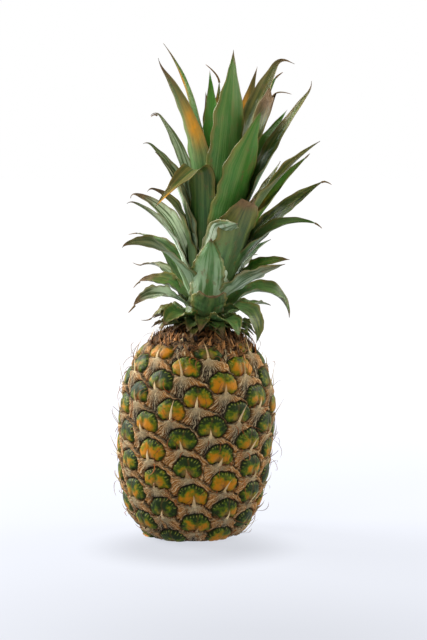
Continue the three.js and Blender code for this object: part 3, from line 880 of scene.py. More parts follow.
def midrib(leaf, shares):
    """The midrib's points, with the directions along, across and inwards at each. The path is the
    running sum of short steps, each in the direction of its own angle from the stem. The angle
    goes from the first lean to the second with a power of the share of the length, and a kink adds
    a soft step to it and a curled tip a quick turn."""
    end = leaf.get("end", 1)
    lean = np.radians(leaf["lean"])
    kink = leaf.get("kink")
    root = float(stem_radius(leaf["z0"])) + LEAF_CLEARANCE + leaf.get("out", 0)
    azimuth = math.radians(leaf["az"])

    def directions(s):
        """Along the angle from the stem, square to that on the level, and square to both; a roll
        turns the last two about the first."""
        angle = lean[0] + (lean[1] - lean[0]) * s ** leaf.get("bend", LEAF_BEND)
        if kink:
            angle = angle + math.radians(kink[1]) * smooth((s - kink[0]) / KINK_LENGTH + 0.5)
        curled = np.clip((s - CURL_FROM) / (1 - CURL_FROM), 0, 1) ** CURL_POWER
        angle = angle + math.radians(leaf.get("curl", 0)) * curled
        level = np.stack([np.sin(azimuth) + 0 * s, -np.cos(azimuth) + 0 * s, 0 * s], axis=-1)
        along = np.sin(angle)[..., None] * level
        along[..., 2] = np.cos(angle)
        side = np.stack([np.cos(azimuth) + 0 * s, np.sin(azimuth) + 0 * s, 0 * s], axis=-1)
        roll = np.radians(leaf.get("roll", 0) * s)[..., None]
        side = side * np.cos(roll) + np.cross(along, side) * np.sin(roll)
        return along, side, -np.cross(side, along)

    fine = np.linspace(0, end, MIDRIB_STEPS + 1)
    middles = (fine[1:] + fine[:-1]) / 2
    steps = directions(middles)[0] * leaf["length"] * end / MIDRIB_STEPS
    start = np.array([root * math.sin(azimuth), -root * math.cos(azimuth), leaf["z0"]])
    path = start + np.concatenate([np.zeros((1, 3)), np.cumsum(steps, axis=0)])
    at = np.stack([np.interp(shares * end, fine, path[:, a]) for a in range(3)], axis=-1)
    return at, *directions(shares * end)


# %% [markdown]
# The blade's section is a thin lens. Its columns run from one edge over the outer face to the other
# edge and back over the inner face, so the mesh is closed. A slow wave and a finer ripple lift the
# edges, which is what keeps a row of leaves from looking like folded paper.

# %% The section of a leaf
LEAF_ROOT_SHARE = 0.3
LEAF_ROOT_WIDTH = 0.66
LEAF_POINT_POWER = 1.15
ONE_TURN = 6.28
WAVE_RATES = (2.2, 3.8)
EDGE_SWAY = 0.1
EDGE_RIPPLE = 0.045
CUT_FROM = 0.93
CUT_DEPTH = 0.03
CUT_SLANT = 0.5


def leaf_swell(s, taper):
    """Half width as a share of the widest: a clasping root, an even middle, and a point over the
    last share of the length, which is the taper."""
    grown = np.sin(math.pi / 2 * np.clip(s / LEAF_ROOT_SHARE, 0, 1))
    root = LEAF_ROOT_WIDTH + (1 - LEAF_ROOT_WIDTH) * grown
    point = np.sin(math.pi / 2 * np.clip((1 - s) / taper, 0, 1)) ** LEAF_POINT_POWER
    return np.minimum(root, point)


def section_columns(half_columns):
    """The place across the blade and the side of it for each column: minus the cosine and minus
    the sine of an even turn."""
    turn = math.pi * np.arange(2 * half_columns) / half_columns
    return -np.cos(turn), -np.sin(turn)


def edge_waves(s, u, phases, rates):
    """How far the edges are lifted, as a share of the half width: a slow sine and a ripple along
    the leaf, times the square of the distance from the midrib."""
    sway = np.sin(s * rates[0] * ONE_TURN + phases[0] + u * 1.3)
    ripple = np.sin(s * rates[1] * 15 + phases[1] + np.sign(u) * 1.9)
    return np.abs(u) ** 2 * (EDGE_SWAY * sway + EDGE_RIPPLE * ripple)


def frayed_edges(s, u, phase):
    """The width's small changes: a quick sine along the leaf, only near the edges, wider on one
    side where it is narrower on the other."""
    return 1 + 0.035 * np.sin(s * 61 + phase) * np.abs(u) ** 3 * np.sign(u)


def ragged_end(shares, u, length, phases):
    """How far the end of a cut leaf stands out: two sines and a slant across it, on its last part."""
    cut = smooth((shares - CUT_FROM) / (1 - CUT_FROM)) * length * CUT_DEPTH
    jag = np.sin(u * 5 + phases[3]) + 0.5 * np.sin(u * 13 + phases[1])
    return cut * (jag - 0.6 + CUT_SLANT * u)


# %% [markdown]
# With the path and the section, the blade is one grid. The root is bent round the stem, as on the
# real leaf, and the channel deepens over the first third of the length. The numbers that go with
# the points say where each is on its leaf, for the finish.

# %% The blade as a grid
BLADE_SEED = 1000
BLADE_ROWS = 72
BLADE_HALF_COLUMNS = 13
ROWS_TO_THE_TIP = 0.92
LEAF_TAPER = 0.62
LEAF_CUP = 0.42
LEAF_THICKNESS = 1.7
FINER_THAN_SOLID = 0.42


def blade(leaf, rows=BLADE_ROWS, half_columns=BLADE_HALF_COLUMNS, seed=0):
    """Points, faces and numbers of one leaf, in the fruit's frame, in millimetres. A point is the
    midrib's, plus the place across times the half width, plus a lift inwards: the channel, which
    goes with the square of the place across, the edges' waves, and the thickness of the lens."""
    random = np.random.default_rng(BLADE_SEED + seed)
    phases = random.uniform(0, ONE_TURN, 4)
    rates = random.uniform(*WAVE_RATES, 2)
    end = leaf.get("end", 1)
    shares = np.linspace(0, 1, rows) ** ROWS_TO_THE_TIP
    at, along, side, inner = midrib(leaf, shares)
    s = (shares * end)[:, None]
    u, face = section_columns(half_columns)

    half = leaf["width"] / 2 * leaf_swell(s, leaf.get("taper", LEAF_TAPER))
    root_cup = half / (2 * (stem_radius(leaf["z0"]) + 2))
    fold = root_cup + (leaf.get("cup", LEAF_CUP) - root_cup) * smooth(s / 0.3)
    wave = edge_waves(s, u, phases, rates) * leaf.get("wave", 1)
    thickness = leaf.get("thick", LEAF_THICKNESS) * (1 - 0.6 * s) * FINER_THAN_SOLID
    lift = fold * half * (u**2 - 0.25) + wave * half + thickness * face * (1 - 0.45 * u**2)
    points = at[:, None] + side[:, None] * (half * u * frayed_edges(s, u, phases[2]))[..., None]
    points = points + inner[:, None] * lift[..., None]
    if end < 1:
        slide = ragged_end(shares[:, None], u, leaf["length"], phases)
        points = points + along[:, None] * slide[..., None]
    values = {
        "along": np.broadcast_to(s, lift.shape),
        "across": np.broadcast_to(u, lift.shape),
        "from_end": np.broadcast_to((1 - shares)[:, None] * leaf["length"], lift.shape),
    }
    return to_fruit(points.reshape(-1, 3)), capped_tube(rows, 2 * half_columns), values


# %% [markdown]
# ## The crown's leaves
#
# The table gives each leaf the way it points, where it leaves the stem, its size and how it bends.
# The lowest leaves spread and droop, and the heart stands almost straight. Some leaves are folded
# over or cut short, as on any pineapple that has been handled.

# %% The leaves, from the outermost to the heart
LEAVES = [
    dict(az=-104, z0=12.5, length=28, width=17, lean=(79, 140), bend=0.97, roll=-30),
    dict(az=103, z0=12.8, length=70, width=20, lean=(23, 175), bend=1.23, taper=0.45, roll=35),
    dict(az=28, z0=6.2, length=44, width=20, lean=(56, 147), bend=1.17),
    dict(az=162, z0=5, length=60, width=20, lean=(60, 112)),
    dict(az=-138, z0=14, length=74, width=19, lean=(36, 111), bend=1.31),
    dict(az=-35, z0=9.8, length=39, width=20, lean=(61, 143), bend=1.08, roll=-25),
    dict(az=55, z0=13.5, length=52, width=20, lean=(41, 196), bend=1, roll=20),
    dict(az=6, z0=8, length=44, width=26, lean=(36, 78), end=0.7, cup=0.5),
    dict(az=-68, z0=18.1, length=46, width=18, lean=(55, 142), bend=1.15, roll=-45),
    dict(az=129, z0=8.8, length=51, width=20, lean=(59, 106)),
    dict(az=-165, z0=11, length=62, width=20, lean=(55, 96)),
    dict(az=-109, z0=22.1, length=43, width=20, lean=(50, 115), bend=1.2, roll=-40),
    dict(az=77, z0=22.9, length=62, width=22, lean=(23, 87), bend=1.13, roll=45, cup=0.3),
    dict(az=53, z0=25, length=64, width=22, lean=(53, 72), bend=1.52, roll=-20, cup=0.3),
    dict(az=-49, z0=24.9, length=85, width=24, lean=(21, 109), bend=1.05, roll=-45, cup=0.3),
    dict(az=0, z0=14.3, length=59, width=25, lean=(17, 20), bend=2.07, taper=0.5, cup=0.5),
    dict(az=155, z0=20.8, length=85, width=22, lean=(46, 94)),
    dict(az=-144, z0=18.7, length=101, width=22, lean=(41, 94)),
    dict(az=-73, z0=29.9, length=84, width=14, lean=(14, 77), bend=1.31, roll=-40),
    dict(az=120, z0=21.8, length=63, width=22, lean=(23, 65), bend=1.71),
    dict(az=73, z0=27.3, length=100, width=20, lean=(18, 106), bend=1.8, roll=45),
    dict(az=16, z0=21, length=94, width=27, lean=(14, 20), kink=(0.62, 62), roll=-25),
    dict(az=178, z0=22, length=100, width=24, lean=(32, 62)),
    dict(az=-108, z0=32.8, length=88, width=17, lean=(13, 86), bend=1.54, roll=-50),
    dict(az=37, z0=26.3, length=93, width=33, lean=(19, 29), taper=0.4, end=0.86, cup=0.36),
    dict(az=97, z0=31.8, length=112, width=22, lean=(26, 56), bend=1.37, roll=55),
    dict(az=-66, z0=30.1, length=89, width=19, lean=(4, 86), bend=2.04, roll=-50),
    dict(az=130, z0=31.5, length=110, width=22, lean=(25, 30), bend=1.59),
    dict(az=-140, z0=31.6, length=97, width=23, lean=(9, 19)),
    dict(az=-68, z0=34, length=106, width=20, lean=(1, 53), bend=1.5, roll=-40, cup=0.36),
    dict(az=57, z0=38.7, length=134, width=25, lean=(19, 56), roll=50),
    dict(az=-77, z0=41.8, length=106, width=22, lean=(5, 54), roll=-50),
    dict(az=78, z0=40.2, length=112, width=24, lean=(23, 44), bend=1.81, roll=50),
    dict(az=168, z0=36, length=128, width=24, lean=(22, 42)),
    dict(az=-36, z0=40, length=137, width=25, lean=(5, 21), kink=(0.59, 107)),
    dict(az=-105, z0=46.1, length=122, width=15, lean=(6, 47), bend=1.82, roll=-50),
    dict(az=101, z0=45.5, length=130, width=25, lean=(9, 33), bend=1.8, roll=60),
    dict(az=36, z0=39.8, length=133, width=31, lean=(11, 24), bend=1.46, taper=0.5, cup=0.38),
    dict(az=-166, z0=45.4, length=158, width=18, lean=(3, 17), bend=1.56, taper=0.3, end=0.8),
    dict(az=82, z0=47.4, length=149, width=24, lean=(13, 33), bend=1.22, taper=0.7, roll=55),
    dict(az=-62, z0=54, length=149, width=25, lean=(0, 46), taper=0.7, roll=30),
    dict(az=140, z0=54.4, length=154, width=24, lean=(8, 46), bend=1.91, roll=60),
    dict(az=-106, z0=59.6, length=159, width=16, lean=(3, 43), bend=2.18, taper=0.8, roll=-30),
    dict(az=104, z0=58, length=163, width=24, lean=(3, 27), kink=(0.93, 81), roll=60),
    dict(az=32, z0=56, length=153, width=31, lean=(6, -9), taper=0.5, cup=0.34),
    dict(az=-172, z0=60, length=129, width=17, lean=(4, 17)),
    dict(az=71, z0=61.2, length=145, width=22, lean=(13, 18), taper=0.35, roll=60, end=0.84),
    dict(az=150, z0=62.9, length=143, width=21, lean=(13, 21), taper=0.7, roll=30),
    dict(az=-157, z0=66.1, length=130, width=18, lean=(2, 22), roll=-30),
]

# %% [markdown]
# ## The leaves' finish
#
# No two leaves of a crown have aged alike, so the finish has a table too. Only what stands out is in
# it: how many millimetres of the tip are dry, how much pale bloom and painted highlight there is,
# how bright the green is, how far the outer part has faded to olive brown, where an orange patch lies
# along the leaf, and by how many degrees a dry tip has curled. Whatever a leaf's row leaves out is
# drawn.

# %% The finish of each leaf, by its number
FINISH = {
    1: dict(faded=0.8),
    2: dict(dry=9),
    5: dict(dry=16, bloom=1.1, faded=0.8),
    6: dict(faded=0.7),
    7: dict(faded=0.5),
    8: dict(dry=5, faded=0.4),
    9: dict(dry=14, bloom=1.2, faded=0.8, curl=70),
    12: dict(dry=18, faded=0.9, curl=90),
    13: dict(dry=8, bright=0.5, faded=0.6),
    14: dict(bloom=1.0, faded=0.7),
    15: dict(dry=12, bloom=0.9, faded=0.8, curl=40),
    16: dict(bloom=0.95),
    19: dict(dry=12, bloom=1.9, faded=0.6, curl=60),
    20: dict(bloom=0.9),
    21: dict(bloom=0.5),
    22: dict(dry=5, bloom=1.8),
    24: dict(dry=26, bloom=1.8, faded=0.8, curl=110),
    25: dict(dry=13, bloom=0.7, faded=0.75),
    26: dict(bloom=0.15, faded=0.4),
    27: dict(dry=28, bloom=0.8, faded=0.9, curl=80),
    28: dict(bloom=0.1, faded=0.6),
    30: dict(dry=9, bloom=1.0, faded=0.6),
    31: dict(bloom=0.4, faded=0.75),
    32: dict(bloom=1.3, faded=0.5, curl=70),
    33: dict(bright=0.6, faded=0.6, orange=0.5),
    35: dict(dry=6, faded=1.0, orange=0.93),
    36: dict(dry=12, bloom=1.7, faded=0.6, curl=110),
    37: dict(bright=0.9, faded=0.4),
    38: dict(dry=7, bloom=0.4, bright=0.5),
    39: dict(dry=24, faded=1.4),
    40: dict(dry=16, bloom=0.3, bright=0.4, faded=0.85, curl=-45),
    41: dict(dry=26, bloom=0.7, bright=0.3, faded=0.7, orange=0.64, curl=-30),
    43: dict(dry=30, bloom=0.5, bright=1.3, faded=0.25, orange=0.8),
    44: dict(dry=24, bloom=0.2, faded=0.75),
    45: dict(dry=9, bloom=0.55, bright=0.45),
    46: dict(bright=0.4, faded=0.7, orange=0.8),
    47: dict(dry=30, bloom=0.1, faded=0.85),
    48: dict(dry=16, faded=0.9, orange=0.75),
    49: dict(bright=1.1),
}
NO_PATCH = -1
PATCH_LENGTH = 0.09


def leaf_numbers(number, values, random):
    """The numbers on one leaf's mesh: what its row of the table gives, or else a draw. Number 0
    has no row."""
    finish = FINISH.get(number, {})
    dry = finish.get("dry", random.uniform(2.5, 8))
    faded = finish.get("faded", random.uniform(0.0, 0.4))
    bloom = finish.get("bloom", random.uniform(0.2, 0.6))
    bright = finish.get("bright", random.uniform(0, 0.3))
    shade = random.uniform(0, 1)
    from_patch = values["along"] - finish.get("orange", NO_PATCH)
    count = values["along"].size
    return {
        **values,
        "dryness": smooth(1 - values["from_end"] / dry),
        "patch": bump(from_patch, PATCH_LENGTH) * bump(values["across"] - 0.5, 0.5),
        "faded": faded * smooth((values["along"] - 0.25) / 0.6),
        "bloom": np.full(count, bloom),
        "bright": np.full(count, bright),
        "shade": np.full(count, shade),
    }


print("leaves with a finish of their own:", len(FINISH))

# %% [markdown]
# A living blade is satin green, lighter and darker in streaks that run along it, with faint ribs and
# an olive midrib. The bloom is a grey powder, thickest towards the root, and where a leaf has much of
# it the pale green is partly painted highlight. The streaks read the place along and across the leaf,
# so they follow every bend, which a pattern in space wouldn't.

# %% The green of a living leaf
GREENS = (srgb(17, 38, 9), srgb(56, 98, 28))
FRESH_GREEN = srgb(54, 138, 14)
ROOT_GREEN = srgb(130, 146, 70)
BLOOM_AND_HIGHLIGHT_GREEN = srgb(146, 180, 132)
RIB_GREEN = srgb(26, 46, 18)
MIDRIB_OLIVE = srgb(104, 96, 44)


def living_green(tree, along, from_middle, cloud, mottle, streaky, rib):
    """Dark or light green by streak and shade, then the bright young green, the yellowish root, the
    pale powder that is partly painted highlight, the ribs and the midrib, each laid over the one
    before."""
    lightness = cloud * 1.6 - 0.65 + attribute(tree, "shade") * 0.5 + (streaky - 0.5) * 3.4
    colour = mix(tree, lightness.clamped(), *GREENS)
    young = attribute(tree, "bright") * (0.6 + along)
    colour = mix(tree, young.clamped(), colour, FRESH_GREEN)
    colour = mix(tree, (1 - along * 3).clamped() * 0.35, colour, ROOT_GREEN)
    # The pale green is partly the bloom's own colour and partly painted highlight.
    bloom = attribute(tree, "bloom") * (mottle * 0.7 + streaky * 1.6 - 0.45) * (1.25 - along * 0.9)
    colour = mix(tree, bloom.clamped() * 0.6, colour, BLOOM_AND_HIGHLIGHT_GREEN)
    colour = mix(tree, rib * 0.1, colour, RIB_GREEN)
    middle = (1 - from_middle * 5).clamped() * (mottle - 0.3).clamped()
    return mix(tree, middle * 0.8, colour, MIDRIB_OLIVE)


# %% [markdown]
# With age the outer part of a leaf fades to olive brown, its margins turn brown and a few spots
# appear. The root half stays fresh, and on the leaves with the most bloom a painted highlight lies
# almost white along its streaks. A few leaves carry an orange patch.

# %% The wear of a leaf
FADED_BROWNS = (srgb(62, 50, 26), srgb(122, 112, 54))
MARGIN_BROWNS = (srgb(92, 66, 36), srgb(148, 138, 66))
HIGHLIGHT_WHITE = srgb(232, 246, 224)
PATCH_ORANGE = srgb(212, 142, 8)
SPOT_BROWN = srgb(110, 88, 48)


def worn(tree, colour, along, from_middle, cloud, mottle, streaky):
    """The faded part, the painted highlight, the margins, the orange patch and the spots, over the green.
    """
    faded = attribute(tree, "faded") * (streaky * 2.2 - 0.4 + from_middle * 0.5 + (cloud - 0.5))
    brownish = mix(tree, streaky.step(0.35, 0.65), *FADED_BROWNS)
    colour = mix(tree, faded.clamped(), colour, brownish)
    # Painted highlight: near-white streaks on the leaves with the most bloom.
    painted_highlight = (attribute(tree, "bloom") - 0.7) * streaky.step(0.4, 0.54) * (1.7 - along * 1.7)
    colour = mix(tree, painted_highlight.clamped() * 0.9, colour, HIGHLIGHT_WHITE)
    margin = (from_middle + (mottle - 0.5) * 0.3).step(0.74, 1.0)
    margin_colour = mix(tree, (cloud * 2 - 0.5).clamped(), *MARGIN_BROWNS)
    colour = mix(tree, margin * 0.7, colour, margin_colour)
    orange = attribute(tree, "patch") * (mottle * 1.6 + 0.2)
    colour = mix(tree, orange.clamped(), colour, PATCH_ORANGE)
    spot = (mottle + (cloud - 0.5) * 0.7).step(0.66, 0.72)
    return mix(tree, spot * 0.4, colour, SPOT_BROWN)


# %% [markdown]
# One material dresses every large leaf, because it reads all that differs from the mesh. It ends
# with the dry tips, which are brown and dull whatever lies under them.

# %% The leaves' material
DRY_BROWNS = (srgb(58, 40, 26), srgb(138, 108, 72))


def paint_leaf(name, dead=0.0):
    """Green, worn and dry, in that order. dead adds the same dryness all over."""
    material, tree, shader = new_material(name)
    along = attribute(tree, "along")
    across = attribute(tree, "across")
    from_middle = across.math("ABSOLUTE")
    cloud = noise(tree, 16, 3, (1, 1, 0.45))
    mottle = noise(tree, 3.5, 3, (1, 1, 0.5))
    fine = noise(tree, 0.8, 2)
    strip_place = {"X": across * 5, "Y": along * 2.2, "Z": attribute(tree, "shade") * 60}
    strips = node(tree, "ShaderNodeCombineXYZ", None, strip_place)
    strip_inputs = {"Vector": strips, "Scale": 1.0, "Detail": 4.0}
    streaky = node(tree, "ShaderNodeTexNoise", None, strip_inputs)
    rib = (across * 62 + mottle * 7).math("SINE") * 0.5 + 0.5

    colour = living_green(tree, along, from_middle, cloud, mottle, streaky, rib)
    colour = worn(tree, colour, along, from_middle, cloud, mottle, streaky)
    brown = mix(tree, mottle, *DRY_BROWNS)
    withered = (attribute(tree, "dryness") * 1.5 + (mottle - 0.5) * 0.9 + dead).clamped()
    colour = mix(tree, withered * 0.92, colour, brown)
    plug(
        shader,
        Base_Color=colour,
        Roughness=0.4 + withered * 0.3 + (mottle - 0.5) * 0.15,
        Specular_IOR_Level=0.3,
        Normal=bumped(tree, rib * 0.3 + fine * 0.35 + mottle * 0.6, 0.35),
    )
    return material


# %% [markdown]
# Each row of the first table now becomes one piece that stands for the solid leaf of the same
# number. A curled tip takes up some of the leaf's length, so such a leaf is made a little longer,
# and still reaches as far as its solid does.

# %% Build the leaves
CURLED_TIP_LENGTHENS = 1.035
FINISH_SEED = 500

leaf_material = paint_leaf("crown_leaf_green")
for i, leaf in enumerate(LEAVES):
    curl = FINISH.get(i + 1, {}).get("curl", 0)
    longer = CURLED_TIP_LENGTHENS if curl else 1.0
    shaped = leaf | {"curl": curl, "length": leaf["length"] * longer}
    points, faces, values = blade(shaped, seed=i)
    random = np.random.default_rng(FINISH_SEED + i)
    piece = mesh_piece(f"crown_leaf_{i + 1:02d}", points, faces, leaf_numbers(i + 1, values, random))
    piece.data.materials.append(leaf_material)
    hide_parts(f"leaf_{i + 1:02d}")
    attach(piece, "root")
print("leaves built:", len(LEAVES))

# %% [markdown]
# ## Dry tails
#
# The tips of some leaves have dried to threads that curl away from the blade. They could be part of
# the blades, but a thread needs few points and a blade many, so they are thin tubes of their own.
# Each starts near the end of its leaf's midrib and turns more and more towards a given direction.
# The table gives the leaf's number, the tail's length and that direction.

# %% Build the dry tails
TAIL_STATIONS = 14
TAIL_SIDES = 5
TAIL_FROM = 0.97
TAIL_RADIUS = 0.5
TAIL_END_RADIUS = 0.08
TAIL_WIDER = 1.6
TAIL_COLOURS = (srgb(128, 104, 64), srgb(72, 54, 30))
TAILS = {
    47: (17, (2.2, -0.6, -1.6)),
    46: (19, (-2.4, -0.5, 0.6)),
    42: (8, (1.6, 0, 0.8)),
    21: (7, (1.0, 0, -1.4)),
    26: (9, (0.9, 0, -1.6)),
    36: (6, (-0.4, 0, -2.0)),
    18: (9, (-1.2, 0, -0.6)),
    5: (9, (-1.2, 0, 1.0)),
    12: (8, (-0.6, 0, -2.0)),
    9: (8, (-1.0, 0, -1.4)),
    1: (9, (-1.6, 0, 0.8)),
    6: (8, (-0.4, -0.6, -1.4)),
    33: (5, (1.0, 0, 1.4)),
    25: (6, (1.6, -0.4, 0.4)),
}


def tail(number, length, turn_to):
    """The points of one tail and how far along it each is. The path is the running sum of even
    steps, whose heading is the leaf's own plus a growing share of the direction it turns to."""
    midrib_end = midrib(LEAVES[number - 1], np.array([0.0, TAIL_FROM]))
    end, along, side, inner = (values[-1] for values in midrib_end)
    t = np.linspace(0, 1, TAIL_STATIONS)
    heading = along + np.outer(t, turn_to)
    heading = heading / np.linalg.norm(heading, axis=1, keepdims=True)
    path = end + np.cumsum(heading, axis=0) * length / TAIL_STATIONS
    radius = TAIL_RADIUS * (1 - t) ** 0.6 + TAIL_END_RADIUS
    turn = np.arange(TAIL_SIDES) * 2 * math.pi / TAIL_SIDES
    across = np.cross(heading, inner)
    up = np.cross(across, heading)
    wide = across[:, None] * np.cos(turn)[None, :, None] * TAIL_WIDER
    high = up[:, None] * np.sin(turn)[None, :, None]
    points = path[:, None] + radius[:, None, None] * (wide + high)
    return to_fruit(points.reshape(-1, 3)), np.repeat(t, TAIL_SIDES)


def build_tails():
    """All the tails as one mesh."""
    built = [tail(number, length, turn_to) for number, (length, turn_to) in TAILS.items()]
    per_tail = TAIL_STATIONS * TAIL_SIDES
    faces = []
    for first in range(0, len(built) * per_tail, per_tail):
        faces += capped_tube(TAIL_STATIONS, TAIL_SIDES, first)
    points = np.concatenate([points for points, share in built])
    shares = np.concatenate([share for points, share in built])
    return mesh_piece("dry_tails", points, faces, {"along": shares, "tone": 0 * shares + 0.5})


tails = build_tails()
tails.data.materials.append(paint_dry("dry_tail", *TAIL_COLOURS))
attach(tails, "root")
print("tails:", len(TAILS))

# %% [markdown]
# ## The foot of the crown
#
# Round the foot of the crown sit short leaves that have dried from their tips and hang onto the
# fruit's shoulder. They and the stem are one piece on the real crown, so they are joined here too.
# They are blades like the large ones, with fewer rows. The same golden turn and the same draws as
# the solid's place them, so the first 21 lie over its small leaves, and nine more fill the gap up
# to the large ones.

# %% The small leaves round the foot
FOOT_LEAVES = 30
FOOT_SPREAD = 16
FOOT_RISE = 0.28


def chance(seed):
    """The same repeatable draw from 0 to 1 that placed the solid's foot leaves."""
    x = math.sin(seed * 127.1 + 311.7) * 43758.5453
    return x - math.floor(x)


def foot_leaf(i):
    """One small leaf in the form of the leaves' table: a golden turn from the last and a little
    higher, with its size, its lean and its roll drawn."""
    return dict(
        az=math.degrees(i * GOLDEN_TURN) + 20 + FOOT_SPREAD * (chance(i) - 0.5),
        z0=1.5 + i * FOOT_RISE,
        out=-4.5,
        length=22 + 13 * chance(i + 40),
        width=11 + 4 * chance(i + 80),
        lean=(64 + 8 * chance(i + 20), 118 + 24 * chance(i + 60)),
        bend=0.9,
        roll=30 * (chance(i + 120) - 0.5),
        thick=1.5,
        wave=2,
    )


# %% [markdown]
# The stem itself is a plain tube, because the leaves hide all of it. It carries the same numbers as
# the leaves, so that one material fits the joined mesh.

# %% Build the stem and its foot leaves
STEM_ROWS = 30
STEM_COLUMNS = 40
STEM_FROM = 0.35
STEM_FINISH = dict(along=0.1, across=0, dryness=0, patch=0, faded=0, bloom=0.4, bright=0.1, shade=0.5)
FOOT_ROWS = 26
FOOT_HALF_COLUMNS = 7
FOOT_BLADE_SEED = 200
FOOT_FINISH_SEED = 900
FOOT_DEAD = 0.05


def stem_rings():
    """Level circles of the stem's radius, up the stem."""
    z = np.linspace(STEM_FROM, STEM_HEIGHT, STEM_ROWS)[:, None]
    turn = np.arange(STEM_COLUMNS) * 2 * math.pi / STEM_COLUMNS
    r = stem_radius(z)
    rings = np.stack([r * np.sin(turn), -r * np.cos(turn), z + 0 * turn], axis=-1)
    return to_fruit(rings.reshape(-1, 3))


def foot_numbers(i, values):
    """The finish of one small leaf: dried from its tip, and faded by a draw of its own."""
    given = leaf_numbers(0, values, np.random.default_rng(FOOT_FINISH_SEED + i))
    given["dryness"] = smooth(1.1 - values["from_end"] / (3 + 9 * chance(i + 200)))
    given["faded"] = 0.9 * smooth((values["along"] - 0.2) / 0.7) * chance(i + 240)
    return given


def build_foot():
    """The stem and its small leaves as one mesh, each leaf's faces moved on past the points before."""
    all_points = [stem_rings()]
    all_faces = capped_tube(STEM_ROWS, STEM_COLUMNS)
    count = STEM_ROWS * STEM_COLUMNS
    numbers = {name: [np.full(count, value)] for name, value in STEM_FINISH.items()}
    for i in range(FOOT_LEAVES):
        points, faces, values = blade(foot_leaf(i), FOOT_ROWS, FOOT_HALF_COLUMNS, FOOT_BLADE_SEED + i)
        given = foot_numbers(i, values)
        for name, parts in numbers.items():
            parts.append(np.asarray(given[name]).ravel())
        all_points.append(points)
        all_faces += [np.asarray(f) + count for f in faces]
        count += len(points)
    joined = {name: np.concatenate(parts) for name, parts in numbers.items()}
    return mesh_piece("crown_foot", np.concatenate(all_points), all_faces, joined)


foot = build_foot()
foot.data.materials.append(paint_leaf("crown_foot_leaf", dead=FOOT_DEAD))
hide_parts("crown_stem")
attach(foot, "root")
print("foot faces:", len(foot.data.polygons))

# %% [markdown]
# ## The cut stalk
#
# Under the fruit is the end of the stalk that it grew on, cut flush. Its solid has the right shape,
# so it stays and only gets a finish: dry fibre in two browns, with the ends of the bundles showing
# as dots.

# %% Paint the cut stalk
STALK_BROWNS = (srgb(196, 166, 116), srgb(138, 100, 60))
BUNDLE_BROWN = srgb(92, 62, 36)
BUNDLES_PER_METRE = 900.0


def paint_stalk():
    """Cut fibre: blotches of two browns under the darker dots of a cell pattern."""
    material, tree, shader = new_material("cut_fibre")
    place = node(tree, "ShaderNodeTexCoord", output="Object")
    cells = {"Vector": place, "Scale": BUNDLES_PER_METRE}
    dots = node(tree, "ShaderNodeTexVoronoi", None, cells, "Distance")
    colour = mix(tree, noise(tree, 4, 3), *STALK_BROWNS)
    colour = mix(tree, dots.step(0.5, 0.2), colour, BUNDLE_BROWN)
    plug(shader, Base_Color=colour, Roughness=0.85, Normal=bumped(tree, dots, 0.3))
    return material


stalk = frame["nodes"]["cut_stalk"]
stalk.data.materials.clear()
stalk.data.materials.append(paint_stalk())
print("stalk painted")

# %% [markdown]
# ## Floor, light and camera
#
# The fruit stands on a pale floor in a bright white studio, with hardly a shadow under it. A floor
# lit only from above would be grey against the white round it, so it is made like a light table,
# which glows from below. The glow is painted light on the floor: it is weakest a little before the
# fruit, is dimmed once more at its foot by a painted shadow, and grows to white with distance, so
# that no horizon shows.

# %% Lay the floor
FLOOR_HALF = 6.0
FLOOR_COLOUR = srgb(66, 67, 70)
FLOOR_TINT = (1.0, 1.03, 1.12)
FLOOR_GLOW = [(0.0, 0.61), (0.06, 0.63), (0.16, 0.7), (0.32, 0.78), (0.5, 0.82), (0.75, 0.86), (1.4, 1.0)]
GLOW_AT = (0.05, -0.36, 0.0)
FOOT_SHADE_AT = (0.004, -0.055, 0.0)
FOOT_SHADE_REACH = (0.09, 0.03)
FOOT_SHADE = 0.24


def paint_floor():
    """A floor whose painted glow grows along a ramp with the distance from one point before the fruit,
    and is darkened by a painted shadow, a soft step of the distance from the fruit's foot."""
    material, tree, shader = new_material("studio_floor")
    place = node(tree, "ShaderNodeTexCoord", output="Object")

    def distance_to(point):
        ends = {0: place, 1: point}
        return node(tree, "ShaderNodeVectorMath", {"operation": "DISTANCE"}, ends, "Value")

    reach = FLOOR_GLOW[-1][0]
    stops = [(d / reach, tuple(min(1.0, glow * c) for c in FLOOR_TINT)) for d, glow in FLOOR_GLOW]
    share = (distance_to(GLOW_AT) * (1 / reach)).clamped()
    glow = node(tree, "ShaderNodeValToRGB", {"stops": stops}, {"Fac": share})
    # A painted shadow round the fruit's foot, darkening the glow.
    shade = distance_to(FOOT_SHADE_AT).step(*FOOT_SHADE_REACH) * FOOT_SHADE
    glow = mix(tree, shade, glow, (0.0, 0.0, 0.0))
    plug(shader, Base_Color=(*FLOOR_COLOUR, 1.0), Roughness=0.8, Specular_IOR_Level=0.1)
    plug(shader, Emission_Color=glow, Emission_Strength=1.0)
    return material


floor_corners = FLOOR_HALF * np.array([(-1, -1, 0), (1, -1, 0), (1, 2, 0), (-1, 2, 0)])
floor = mesh_piece("studio_floor", floor_corners / MM, [(0, 1, 2, 3)])
floor.data.materials.append(paint_floor())
print("floor laid")

# %% [markdown]
# The room round the fruit is white to the camera but gives little light, so that the lamps model the
# form. Two warm lights stand before the fruit, a small key on the left and a large weak fill on the
# right. Two strong ones stand behind it on both sides and brighten the edges of the leaves.

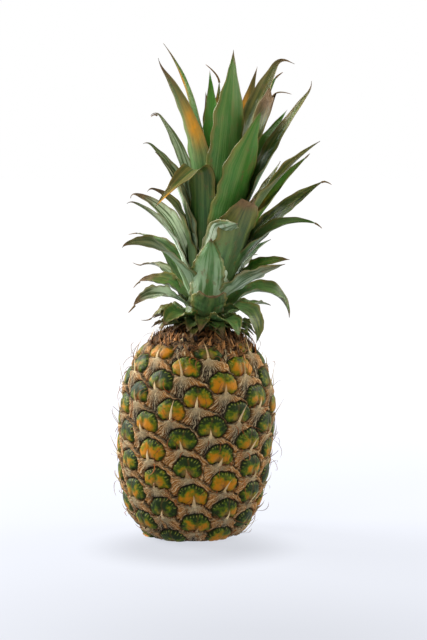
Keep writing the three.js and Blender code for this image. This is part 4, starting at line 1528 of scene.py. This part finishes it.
# %% Light the room
AMBIENT = 0.2
MIDDLE = (0, 0, 0.18)
WHITE = (1.0, 1.0, 1.0)
WARM = (1.0, 0.965, 0.84)

world = bpy.data.worlds.new("studio")
bpy.context.scene.world = world
world.use_nodes = True
backdrop = world.node_tree.nodes["Background"]
backdrop.inputs["Color"].default_value = (*WHITE, 1.0)
seen = node(world.node_tree, "ShaderNodeLightPath", output="Is Camera Ray")
world.node_tree.links.new((seen * (1 - AMBIENT) + AMBIENT).socket, backdrop.inputs["Strength"])


def area_light(name, at, size, power, colour):
    """A square soft light at one point, turned towards the middle of the fruit."""
    data = bpy.data.lights.new(name, "AREA")
    data.size = size
    data.energy = power
    data.color = colour
    light = bpy.data.objects.new(name, data)
    light.location = at
    light.rotation_euler = (Vector(MIDDLE) - Vector(at)).to_track_quat("-Z", "Y").to_euler()
    bpy.context.scene.collection.objects.link(light)


area_light("key", (-0.7, -1.1, 1.4), 0.5, 15, WARM)
area_light("fill", (1.3, -1.2, 0.7), 1.2, 7, WARM)
area_light("back_left", (-1.2, 0.5, 0.9), 0.8, 54, WHITE)
area_light("back_right", (1.3, 0.5, 0.8), 0.8, 24, WARM)
bpy.context.scene.view_settings.view_transform = "Standard"
print("lights:", len(bpy.data.lights))

# %% [markdown]
# The camera looks down a little from the height of the crown, with a long lens from well back, as
# for any picture of food, because a near one would swell the fruit's middle.

# %% Set the camera
CAMERA_AT = Vector((0.019, -1.5, 0.30))
CAMERA_AIM = Vector((0.019, 0.0, 0.1616))
CAMERA_LENS = 113
CAMERA_SENSOR = 36

camera_data = bpy.data.cameras.new("camera")
camera_data.lens = CAMERA_LENS
camera_data.sensor_width = CAMERA_SENSOR
camera = bpy.data.objects.new("camera", camera_data)
camera.location = CAMERA_AT
camera.rotation_euler = (CAMERA_AIM - CAMERA_AT).to_track_quat("-Z", "Y").to_euler()
bpy.context.scene.collection.objects.link(camera)
bpy.context.scene.camera = camera
print("camera at", tuple(round(c, 3) for c in CAMERA_AT))
